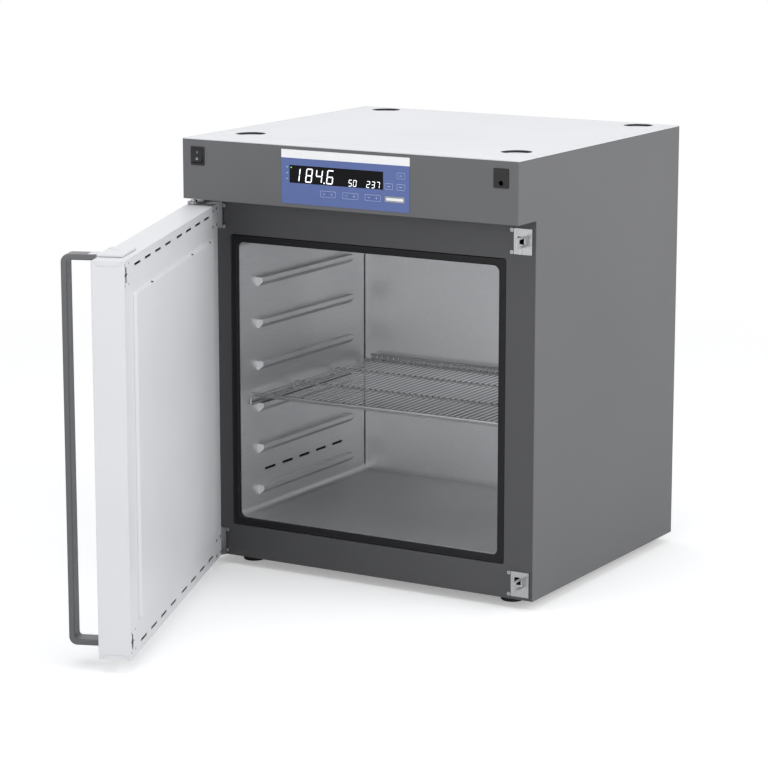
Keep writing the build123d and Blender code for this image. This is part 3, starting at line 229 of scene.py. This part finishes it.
class Finish:
    """One material and the nodes that make its surface."""

    def __init__(self, name, color, roughness, metallic=0.0):
        self.material = bpy.data.materials.new(name)
        self.material.use_nodes = True
        self.tree = self.material.node_tree
        self.shader = self.tree.nodes["Principled BSDF"]
        self.set("Base Color", (*color, 1))
        self.set("Roughness", roughness)
        self.set("Metallic", metallic)
        self.material.diffuse_color = (*color, 1)

    def node(self, kind, settings, *inputs, output=0, **named):
        node = self.tree.nodes.new("ShaderNode" + kind)
        for key, value in settings.items():
            setattr(node, key, value)
        for index, value in enumerate(inputs):
            self.feed(node.inputs[index], value)
        for key, value in named.items():
            self.feed(node.inputs[key.replace("_", " ")], value)
        return Signal(self, node.outputs[output])

    def feed(self, socket, value):
        if isinstance(value, Signal):
            self.tree.links.new(value.socket, socket)
        else:
            socket.default_value = value

    def set(self, name, value):
        self.feed(self.shader.inputs[name], value)

    def place(self, stretch=(1, 1, 1)):
        point = self.node("TexCoord", {}, output=OBJECT_OUTPUT)
        return self.node("Mapping", {}, Vector=point, Scale=stretch)

    def noise(self, scale, detail=3.0, stretch=(1, 1, 1)):
        where = self.place(stretch)
        return self.node("TexNoise", {}, Vector=where, Scale=scale, Detail=detail)

    def ramp(self, signal, low, high, start, end):
        return self.node("MapRange", {}, signal, low, high, start, end)

    def spread(self, noise, start, end):
        """A noise mostly stays between 0.3 and 0.7: this stretches it from start to end."""
        return self.ramp(noise, 0.3, 0.7, start, end)

    def tint(self, amount, dark, light):
        mix = self.tree.nodes.new("ShaderNodeMix")
        mix.data_type = "RGBA"
        self.feed(mix.inputs[MIX_AMOUNT], amount)
        mix.inputs[MIX_DARK].default_value = (*dark, 1)
        mix.inputs[MIX_LIGHT].default_value = (*light, 1)
        self.set("Base Color", Signal(self, mix.outputs[MIX_COLOR]))

    def bump(self, height, strength, distance):
        normal = self.node("Bump", {}, Strength=strength, Distance=distance, Height=height)
        self.set("Normal", normal)


def shaded(color, factor):
    return tuple(min(1.0, channel * factor) for channel in color)


def apply(finish, *names):
    for name in names:
        mesh = nodes[name].data if isinstance(name, str) else name.data
        mesh.materials.clear()
        mesh.materials.append(finish.material)


# %% [markdown]
# The cabinet and the handle wear a graphite powder coat, and the top and the door a pale
# one. Powder melts into a skin with a faint orange peel, so a fine noise lifts the surface
# by a few hundredths of a millimetre and changes its gloss a little. An image of such paint
# would need unwrapped meshes and would repeat, while noise on Object coordinates fits every
# piece. A second, broad noise makes the colour a touch uneven.

# %% Powder coats
CLOUD_SCALE, CLOUD_SHARE = 2.4, 0.035


def powder_coat(name, color, roughness, grain, depth):
    coat = Finish(name, color, roughness)
    peel = coat.noise(grain, 2.0)
    cloud = coat.noise(CLOUD_SCALE, 2.0)
    dark, light = shaded(color, 1 - CLOUD_SHARE), shaded(color, 1 + CLOUD_SHARE)
    coat.tint(coat.spread(cloud, 0, 1), dark, light)
    coat.set("Roughness", coat.spread(peel, roughness - 0.05, roughness + 0.06))
    coat.bump(peel, 0.25, depth)
    return coat


graphite = powder_coat("graphite_powder_coat", (0.124, 0.125, 0.131), 0.5, 900, 0.00006)
# The front frame wears the same graphite, made darker here as painted shade for the shadow of the
# control head and the door.
frame_coat_shaded = powder_coat("graphite_frame_painted_shade", (0.066, 0.066, 0.069), 0.52, 900, 0.00006)
handle_coat = powder_coat("handle_powder_coat", (0.114, 0.115, 0.120), 0.36, 700, 0.00005)
pale = powder_coat("pale_powder_coat", (0.74, 0.745, 0.765), 0.42, 800, 0.00004)
apply(graphite, "side_panel_left", "side_panel_right", "rear_panel", "control_head", "base_pan")
apply(frame_coat_shaded, "front_frame")
apply(handle_coat, "handle_bar")
apply(pale, "top_cover", "head_lid", "door_shell", "door_inner_sheet", "door_inner_panel")
apply(pale, "handle_plate_upper")
print("powder coats:", graphite.material.name, frame_coat_shaded.material.name, pale.material.name)

# %% [markdown]
# The chamber is ground stainless steel. Its grain is thousands of short scratches that run
# one way, so the noise is stretched along Y on the walls and floor. An anisotropic shader
# could give the same streaks, but not in the exported model. The scratches change the gloss,
# and a second, blotchy noise stands for the uneven grinding. The chamber's floor is painted
# darker than its walls as painted shade, so the colour drops just above the height at which it
# lies.

# %% Stainless steel and zinc
SCRATCH_SCALE, BLOTCH_SCALE, SPECKLE_SCALE = 260, 7, 520
# Painted shade on the chamber's floor: the height over which it fades in, its share of the tint
# and how much darker the floor gets.
FLOOR_SHADE_EDGE = 0.012
FLOOR_SHADE_SHARE = 0.75
FLOOR_SHADE_DROP = 7


def ground_steel(
    name, color, roughness, stretch, scratch, blotch, metallic=1.0, depth=0.00005, shaded_floor_z=None
):
    steel = Finish(name, color, roughness, metallic)
    lines = steel.noise(SCRATCH_SCALE, 3.0, stretch)
    cloud = steel.noise(BLOTCH_SCALE, 4.0)
    speckle = steel.noise(SPECKLE_SCALE, 2.0)
    mixed = lines * 0.6 + speckle * 0.4
    dark, light = shaded(color, 1 - blotch), shaded(color, 1 + blotch)
    grain = steel.ramp(mixed, 0.35, 0.65, 0, 1)
    # Near the floor's height the colour is darkened as painted shade, so from here grain carries
    # both the grinding's tone and that shade.
    if shaded_floor_z:
        height = steel.node("SeparateXYZ", {}, steel.place(), output=2)
        above = steel.ramp(height, shaded_floor_z, shaded_floor_z + FLOOR_SHADE_EDGE, 0, 1)
        grain = grain * (1 - FLOOR_SHADE_SHARE) + above * FLOOR_SHADE_SHARE
        dark = shaded(color, 1 - FLOOR_SHADE_DROP * blotch)
    steel.tint(grain, dark, light)
    gloss = steel.spread(lines, -scratch, scratch)
    gloss = gloss + steel.spread(cloud, -0.04, 0.04)
    steel.set("Roughness", gloss + roughness)
    steel.bump(lines, 0.2, depth)
    return steel


along_walls = (1, 0.06, 1)
upright_grain = (1, 1, 0.1)
no_grain = (1, 1, 1)
chamber_steel = ground_steel(
    "ground_chamber_steel", (0.75, 0.755, 0.765), 0.40, along_walls, scratch=0.04, blotch=0.04,
    metallic=0.85, depth=0.00002, shaded_floor_z=0.096,
)
bright_steel = ground_steel(
    "bright_strike_steel", (0.50, 0.505, 0.515), 0.30, upright_grain, 0.06, 0.04, 0.9
)
wire_steel = ground_steel("polished_wire_steel", (0.42, 0.425, 0.43), 0.13, no_grain, 0.04, 0.04)
zinc = ground_steel("zinc_plate", (0.42, 0.43, 0.45), 0.36, no_grain, 0.08, 0.08)
# A darker copy of the zinc, as painted shade for the door's shadow on the hinge brackets and
# their screws.
zinc_painted_shade = ground_steel("zinc_plate_painted_shade", (0.30, 0.30, 0.31), 0.36, no_grain, 0.06, 0.08)
apply(chamber_steel, "chamber_liner", "vent_tube", "temperature_probe", "floor_heater")
apply(bright_steel, "strike_upper", "strike_lower")
apply(wire_steel, "wire_shelf")
apply(zinc, "bracket_screws", "foot_screws", "hinge_pins", "hinge_blocks", "latch_cases")
apply(zinc, "latch_bolt_upper", "latch_bolt_lower", "latch_shafts", "handle_plate_lower")
apply(zinc, "partition_plate", "transformer")
apply(zinc_painted_shade, "hinge_bracket_upper", "hinge_bracket_lower", "block_screws")
print("steels:", ", ".join(m.material.name for m in (chamber_steel, bright_steel, wire_steel)))

# %% [markdown]
# Rubber is nearly black and soft in its gloss. The door seal is smooth silicone, and the
# feet are moulded with a coarser skin. The wool behind the slots is coloured black as painted
# shade, for the dark seen through the slots. One function with a grain and a depth serves
# them all, because only their skins differ, and its sheen keeps black pieces from turning grey
# in the white studio.

# %% Rubber, wool and plastics
def moulded(name, color, roughness, grain, depth, strength=0.3, sheen=0.35):
    skin = Finish(name, color, roughness)
    skin.shader.inputs["Specular IOR Level"].default_value = sheen
    texture = skin.noise(grain, 4.0)
    skin.tint(texture, shaded(color, 0.8), shaded(color, 1.25))
    skin.set("Roughness", skin.spread(texture, roughness - 0.06, roughness + 0.08))
    skin.bump(texture, strength, depth)
    return skin


seal_rubber = moulded("seal_silicone", (0.006, 0.006, 0.007), 0.42, 300, 0.00005, 0.3, 0.27)
foot_rubber = moulded("foot_rubber", (0.02, 0.02, 0.021), 0.62, 420, 0.0001)
# The wool is black as painted shade for the dark seen through the chamber's and the door's slots.
wool_black_as_shade = moulded("wool_painted_shade_black", (0.008, 0.008, 0.008), 0.95, 160, 0.0006, 0.8)
black_plastic = moulded("black_switch_plastic", (0.012, 0.012, 0.013), 0.38, 800, 0.00004)
bush_plastic = moulded("bush_plastic", (0.03, 0.03, 0.031), 0.5, 600, 0.00004)
board_lacquer = moulded("board_lacquer", (0.03, 0.13, 0.06), 0.35, 500, 0.00004)
apply(seal_rubber, "door_seal")
# The feet are real black rubber; the rings in the stacking recesses of the top take this dark
# rubber as painted shade for the shadow inside those recesses.
apply(foot_rubber, "feet", "stack_rings")
apply(wool_black_as_shade, "chamber_insulation", "door_insulation")
apply(black_plastic, "switch_bezel", "switch_rocker", "service_port", "mains_gland")
apply(bush_plastic, "hinge_bushes", "shaft_bushes")
apply(board_lacquer, "display_board", "control_board")
print("dark finishes:", seal_rubber.material.name, foot_rubber.material.name)

# %% [markdown]
# The control panel is a printed polyester foil over flat keys. The blue has a faint satin
# grain, the strip above it is white, and the blank plate is brushed metal foil. The display
# window is nearly black plastic, so little of the white studio may shine in it.

# %% Printed foil
def foil(name, color, roughness):
    film = Finish(name, color, roughness)
    texture = film.noise(1200, 2.0)
    film.tint(texture, shaded(color, 0.94), shaded(color, 1.06))
    film.set("Roughness", film.spread(texture, roughness - 0.04, roughness + 0.05))
    film.bump(texture, 0.2, 0.00003)
    return film


blue_foil = foil("blue_printed_foil", (0.100, 0.150, 0.380), 0.45)
white_foil = foil("white_printed_foil", (0.98, 0.985, 1.0), 0.5)
print_white = foil("white_print", (0.50, 0.58, 0.80), 0.5)
silver_foil = ground_steel(
    "silver_plate_foil", (0.34, 0.345, 0.36), 0.36, (0.08, 1, 1), 0.06, 0.05, 0.8
)
keys = [name for name in nodes if name.endswith("_key")]
apply(blue_foil, "panel_foil", *keys)
apply(white_foil, "panel_strip")
apply(silver_foil, "blank_plate")
WINDOW_SHEEN = 0.12
window = Finish("display_window", (0.004, 0.004, 0.005), 0.12)
window.shader.inputs["Specular IOR Level"].default_value = WINDOW_SHEEN
smudge = window.noise(30, 3.0)
window.set("Roughness", window.spread(smudge, 0.09, 0.16))
apply(window, "display_window")
print("keys under the foil:", len(keys))

# %% [markdown]
# What is printed on the foil is a film a twentieth of a millimetre thick. It could be painted
# into the colour, but an outline of half a millimetre stays sharp only as a shape. Each print
# starts as a plane that is shaped lying flat, then it is stood up in front of its surface.
# The digits of the display are made of such bars too, leaning a little, and they shine.

# %% Tools for the prints
FILM = 0.05 * MM
foil_low, foil_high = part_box("panel_foil")
foil_x = (foil_low[0] + foil_high[0]) / 2
foil_y = foil_low[1]
top_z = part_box("head_lid")[1][2]


def flat_plane(width, height, corner, place=(0, 0), turn=0.0):
    """A flat bar or plate lying in XY, with its corners cut or rounded."""
    bpy.ops.object.select_all(action="DESELECT")
    bpy.ops.mesh.primitive_plane_add(size=1)
    piece = bpy.context.active_object
    piece.scale = (width, height, 1)
    bpy.ops.object.transform_apply(location=False, rotation=False, scale=True)
    bpy.ops.object.mode_set(mode="EDIT")
    bpy.ops.mesh.select_all(action="SELECT")
    bpy.ops.mesh.bevel(offset=corner, affect="VERTICES", segments=2)
    bpy.ops.object.mode_set(mode="OBJECT")
    piece.location = (place[0], place[1], 0)
    piece.rotation_euler = (0, 0, turn)
    bpy.ops.object.transform_apply(location=True, rotation=True, scale=False)
    return piece


def flat_outline(width, height, corner, line):
    """The outline of such a plate, as wide as the line."""
    piece = flat_plane(width, height, corner)
    bpy.ops.object.mode_set(mode="EDIT")
    bpy.ops.mesh.select_all(action="SELECT")
    bpy.ops.mesh.inset(thickness=line)
    bpy.ops.mesh.delete(type="FACE")
    bpy.ops.object.mode_set(mode="OBJECT")
    return piece


def joined(parts):
    bpy.ops.object.select_all(action="DESELECT")
    for part in parts:
        part.select_set(True)
    bpy.context.view_layer.objects.active = parts[0]
    if len(parts) > 1:
        bpy.ops.object.join()
    return bpy.context.active_object


def stand_up(piece, name, body, finish, matrix, thickness=FILM):
    """Thickens a flat print, sets it on its surface and lets it ride on its body."""
    bpy.ops.object.select_all(action="DESELECT")
    bpy.context.view_layer.objects.active = piece
    piece.select_set(True)
    bpy.ops.object.mode_set(mode="EDIT")
    bpy.ops.mesh.select_all(action="SELECT")
    bpy.ops.mesh.extrude_region_move(TRANSFORM_OT_translate={"value": (0, 0, thickness)})
    bpy.ops.mesh.select_all(action="SELECT")
    bpy.ops.mesh.normals_make_consistent(inside=False)
    bpy.ops.object.mode_set(mode="OBJECT")
    piece.matrix_world = matrix
    bpy.ops.object.transform_apply(location=True, rotation=True, scale=True)
    piece.name = name
    apply(finish, piece)
    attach(piece, body)
    return piece


def on_front(x, drop, y=None):
    """A place on the control head: millimetres from its middle and down from its top."""
    depth = foil_y if y is None else y
    place = Matrix.Translation((foil_x + x * MM, depth, top_z - drop * MM))
    return place @ Matrix.Rotation(math.pi / 2, 4, "X")


print("foil from", tuple(foil_low), "to", tuple(foil_high))

# %% [markdown]
# The keys carry a minus or a plus, and each pair of them lies in one printed outline. The
# menu keys have an outline each and a short bar in place of their lettering. An outline
# belongs to the foil, and a sign rides on its key, so that it goes in when the key does.

# %% Prints on the foil and the keys
# Each outline: its width, height, corner and line. Each bar: its width, height and corner
PAIR_OUTLINE = (32.4 * MM, 11.2 * MM, 1.4 * MM, 0.6 * MM)
MENU_OUTLINE = (16.4 * MM, 11 * MM, 1.2 * MM, 0.6 * MM)
SIGN_LENGTH, SIGN_STROKE, SIGN_CORNER = 3.6 * MM, 0.9 * MM, 0.2 * MM
MENU_BAR = (5.5 * MM, 1.1 * MM, 0.3 * MM)
for pair in ("left", "middle", "right"):
    minus_low, minus_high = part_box(pair + "_minus_key")
    plus_low, plus_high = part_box(pair + "_plus_key")
    pair_x = (minus_low[0] + plus_high[0]) / 2 - foil_x
    pair_drop = top_z - (minus_low[2] + minus_high[2]) / 2
    outline = flat_outline(*PAIR_OUTLINE)
    place = on_front(pair_x / MM, pair_drop / MM)
    stand_up(outline, pair + "_pair_outline", "cabinet", print_white, place)
    for sign, low, high in (("minus", minus_low, minus_high), ("plus", plus_low, plus_high)):
        bars = [flat_plane(SIGN_LENGTH, SIGN_STROKE, SIGN_CORNER)]
        if sign == "plus":
            bars.append(flat_plane(SIGN_STROKE, SIGN_LENGTH, SIGN_CORNER))
        key_x = (low[0] + high[0]) / 2 - foil_x
        place = on_front(key_x / MM, pair_drop / MM, low[1])
        name = pair + "_" + sign
        stand_up(joined(bars), name + "_sign", name + "_key", print_white, place)

for menu in ("upper", "lower", "side"):
    low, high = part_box(menu + "_menu_key")
    x, drop = (low[0] + high[0]) / 2 - foil_x, top_z - (low[2] + high[2]) / 2
    outline = flat_outline(*MENU_OUTLINE)
    stand_up(outline, menu + "_menu_outline", "cabinet", print_white, on_front(x / MM, drop / MM))
    bar = flat_plane(*MENU_BAR)
    place = on_front(x / MM, drop / MM, low[1])
    stand_up(bar, menu + "_menu_sign", menu + "_menu_key", print_white, place)

print("signs and outlines are on the keys")

# %% [markdown]
# Left of the display stand three short marks in place of the functions' names, and the
# silver plate has a pale field inside a metal border. The places are measured from the
# display window and from the plate, which the model gives.

# %% Function marks and the plate's field
DASH = (3.2 * MM, 1.5 * MM, 0.4 * MM)
DASH_BESIDE = 5.2
DASH_SHARES = (0.12, 0.45, 0.78)
PLATE_FIELD = (35 * MM, 4.6 * MM, 1.6 * MM)
window_low, window_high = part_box("display_window")
window_left = (window_low[0] - foil_x) / MM
window_top = (top_z - window_high[2]) / MM
window_height = (window_high[2] - window_low[2]) / MM
for index, share in enumerate(DASH_SHARES):
    dash = flat_plane(*DASH)
    drop = window_top + share * window_height
    place = on_front(window_left - DASH_BESIDE, drop)
    stand_up(dash, "function_mark_" + str(index + 1), "cabinet", print_white, place)

plate_low, plate_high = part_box("blank_plate")
plate_x = ((plate_low[0] + plate_high[0]) / 2 - foil_x) / MM
plate_drop = (top_z - (plate_low[2] + plate_high[2]) / 2) / MM
stripe = flat_plane(*PLATE_FIELD)
place = on_front(plate_x, plate_drop, plate_low[1])
stand_up(stripe, "plate_stripe", "cabinet", white_foil, place)
print("display window is", round(window_height, 1), "mm high")

# %% [markdown]
# The display shows a temperature in large digits and two small values beside it. A digit is
# made of up to seven bars with pointed ends. Text in a font would be quicker, but its
# strokes run together, and the gaps between the bars are what makes a display of this kind.
# Letters a to g name the bars: a is the top one, then clockwise, and g is the middle one.

# %% Display
DIGIT_BARS = {
    "0": "abcdef", "1": "bc", "2": "abged", "3": "abgcd", "4": "fgbc",
    "5": "afgcd", "6": "afgedc", "7": "abc", "8": "abcdefg",
}
BAR_PLACES = {
    "a": (0, 1, False), "b": (0.5, 0.5, True), "c": (0.5, -0.5, True), "d": (0, -1, False),
    "e": (-0.5, -0.5, True), "f": (-0.5, 0.5, True), "g": (0, 0, False),
}
LEAN = 0.14
BAR_SHORTER, BAR_POINT = 1.15, 0.42
DOT_SIZE, DOT_CORNER, DOT_X, DOT_RISE = 2.6, 0.9, -43, 1.2
GREEN_LAMP = (2.8 * MM, 2.0 * MM, 0.6 * MM)


def digit_bars(figure, x, width, height, stroke):
    """The lit bars of one digit, lying flat, with its middle at x."""
    bars = []
    for letter in DIGIT_BARS[figure]:
        across, up, standing = BAR_PLACES[letter]
        rise = up * (height - stroke) / 2
        length = (height / 2 if standing else width) - BAR_SHORTER * stroke
        turn = math.pi / 2 - LEAN if standing else 0
        spot = (x + across * (width - stroke) + rise * LEAN, rise)
        bars.append(flat_plane(length, stroke, stroke * BAR_POINT, spot, turn))
    return bars


lit_white = Finish("lit_digit_segments", (0.9, 0.92, 0.95), 0.4)
flicker = lit_white.noise(900, 2.0)
lit_white.shader.inputs["Emission Strength"].default_value = 1.0
lit_white.tint(flicker, (0.85, 0.88, 0.92), (0.95, 0.96, 1))
lit_white.shader.inputs["Emission Color"].default_value = (0.93, 0.96, 1, 1)
lamp_green = Finish("lit_green_lamp", (0.1, 0.5, 0.12), 0.3)
lamp_green.tint(lamp_green.noise(1500, 2.0), (0.08, 0.42, 0.1), (0.14, 0.6, 0.15))
lamp_green.shader.inputs["Emission Strength"].default_value = 0.6
lamp_green.shader.inputs["Emission Color"].default_value = (0.25, 0.9, 0.2, 1)

# Each reading: its name, digits, the x of each digit's middle, width, height, stroke, drop
readings = (
    ("temperature_digits", "1846", (-100.8, -74.7, -53.5, -30.5), 13.8, 25.5, 2.0, 52.6),
    ("hours_digits", "50", (11.6, 21.2), 6.8, 12, 1.05, 60.2),
    ("speed_digits", "237", (49.0, 59.2, 69.2), 6.8, 12, 1.05, 60.2),
)
for name, figures, middles, width, height, stroke, drop in readings:
    bars = []
    for figure, x in zip(figures, middles):
        bars += digit_bars(figure, x * MM, width * MM, height * MM, stroke * MM)
    if name == "temperature_digits":
        dot_place = (DOT_X * MM, (DOT_RISE - height / 2) * MM)
        bars.append(flat_plane(DOT_SIZE * MM, DOT_SIZE * MM, DOT_CORNER * MM, dot_place))
    stand_up(joined(bars), name, "cabinet", lit_white, on_front(0, drop))
green = flat_plane(*GREEN_LAMP)
place = on_front(window_left + 3.6, window_top + 4.4)
stand_up(green, "green_lamp", "cabinet", lamp_green, place)
print("readings on the display:", len(readings))

# %% [markdown]
# The switch has a bar and a ring on its rocker's two faces. The faces lean. Their slant
# could be typed in, but it is read from the rocker's own mesh, so that the marks lie on it
# whatever its angle, and they ride on the rocker.

# %% Marks on the switch
ON_BAR = (0.9 * MM, 4.2 * MM, 0.2 * MM)
OFF_RING = (4.4 * MM, 4.4 * MM, 1.9 * MM, 0.8 * MM)
MARK_LIFT = 0.02 * MM
rocker = nodes["switch_rocker"].data
rocker_low, rocker_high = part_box("switch_rocker")
rocker_middle = (rocker_low[2] + rocker_high[2]) / 2
for name, upper in (("switch_on_bar", True), ("switch_off_ring", False)):
    corners, slant = [], Vector((0, 0, 0))
    for face in rocker.polygons:
        if face.normal.y < -0.9 and (face.center.z > rocker_middle) == upper:
            slant += face.normal * face.area
            corners += [rocker.vertices[index].co for index in face.vertices]
    centre = sum(corners, Vector((0, 0, 0))) / len(corners)
    normal = slant.normalized()
    axes = Matrix((Vector((1, 0, 0)), normal.cross(Vector((1, 0, 0))), normal)).transposed()
    place = Matrix.Translation(centre + normal * MARK_LIFT) @ axes.to_4x4()
    if upper:
        mark = flat_plane(*ON_BAR)
    else:
        mark = flat_outline(*OFF_RING)
    stand_up(mark, name, "rocker", print_white, place)
    print(name, "faces", tuple(round(part, 2) for part in normal))

# %% [markdown]
# The chamber's walls meet its rear wall in two upright seams, which show as fine dark lines.
# A dark line in the liner's colour would need a mask at exactly the corner. A thin bead that
# is set across the corner is simpler and is caught by the light as a real seam is.

# %% Seams in the chamber's rear corners
liner_low, liner_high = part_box("chamber_liner")
liner_middle = (liner_low[0] + liner_high[0]) / 2
CHAMBER_HALF_WIDTH = 275.5
CHAMBER_FLOOR, CHAMBER_TOP = 95, 620
CORNER_ROUND = 12
SEAM_WIDTH, SEAM_CORNER, SEAM_DEPTH = 1.1 * MM, 0.3 * MM, 0.4 * MM
SEAM_FROM_WALL, SEAM_FROM_REAR = 0.75, 1.75
dark_seam = moulded("dark_seam", (0.02, 0.02, 0.02), 0.6, 300, 0.00003)
for side, name in ((-1, "left"), (1, "right")):
    length = (CHAMBER_TOP - CHAMBER_FLOOR - 2 * CORNER_ROUND) * MM
    bead = flat_plane(SEAM_WIDTH, length, SEAM_CORNER)
    spot = (
        liner_middle + side * (CHAMBER_HALF_WIDTH - SEAM_FROM_WALL) * MM,
        liner_high[1] - SEAM_FROM_REAR * MM,
        (CHAMBER_TOP + CHAMBER_FLOOR) / 2 * MM,
    )
    place = Matrix.Translation(spot) @ Matrix.Rotation(math.radians(45 * side), 4, "Z")
    place = place @ Matrix.Rotation(math.pi / 2, 4, "X")
    stand_up(bead, name + "_rear_seam", "cabinet", dark_seam, place, SEAM_DEPTH)
    print(name, "seam is", round(length / MM), "mm long")

# %% [markdown]
# The latch cases are riveted to the door's inner sheet. The rivets are low domes. A sphere
# cut in half has a pole and far more faces than such a small piece needs, so a disc is
# extruded and narrowed three times. The door is drawn swung open, so a place on it is turned
# about the hinge pins first.

# %% Rivets on the door
pins_low, pins_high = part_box("hinge_pins")
pin = Vector(((pins_low[0] + pins_high[0]) / 2, (pins_low[1] + pins_high[1]) / 2, 0))
DOOR_ANGLE = math.radians(68.6)
PIN_FROM_FACE = 42
door_turn = Matrix.Translation(pin) @ Matrix.Rotation(-DOOR_ANGLE, 4, "Z")


def on_door(along, z):
    """A place on the door's inner face, in millimetres from the pins and above the bench."""
    place = door_turn @ Matrix.Translation((along * MM, PIN_FROM_FACE * MM, z * MM))
    return place @ Matrix.Rotation(-math.pi / 2, 4, "X")


RIVET_RADIUS, RIVET_SIDES = 2.1 * MM, 20
# Each step of the dome: its rise in millimetres and how far it narrows
RIVET_STEPS = ((0.35, 0.93), (0.3, 0.75), (0.2, 0.5))


def rivet(name, along, z):
    bpy.ops.object.select_all(action="DESELECT")
    bpy.ops.mesh.primitive_circle_add(vertices=RIVET_SIDES, radius=RIVET_RADIUS, fill_type="NGON")
    dome = bpy.context.active_object
    bpy.ops.object.mode_set(mode="EDIT")
    bpy.ops.mesh.select_all(action="SELECT")
    for rise, factor in RIVET_STEPS:
        bpy.ops.mesh.extrude_region_move(TRANSFORM_OT_translate={"value": (0, 0, rise * MM)})
        bpy.ops.transform.resize(value=(factor, factor, 1))
    bpy.ops.object.mode_set(mode="OBJECT")
    dome.matrix_world = on_door(along, z)
    bpy.ops.object.transform_apply(location=True, rotation=True, scale=True)
    bpy.ops.object.shade_smooth_by_angle(angle=math.radians(40))
    dome.name = name
    apply(zinc, dome)
    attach(dome, "door")


LUG_FROM_PIN = 671.5
LATCH_HEIGHTS = {"upper": 670, "lower": 53}
RIVET_SPOTS = ((-17, 17), (-17, -17), (8, 17), (8, -17))
for end, latch_z in LATCH_HEIGHTS.items():
    for index, (along, rise) in enumerate(RIVET_SPOTS):
        rivet(f"{end}_case_rivet_{index + 1}", LUG_FROM_PIN + along, latch_z + rise)
print("rivets:", len(LATCH_HEIGHTS) * len(RIVET_SPOTS))
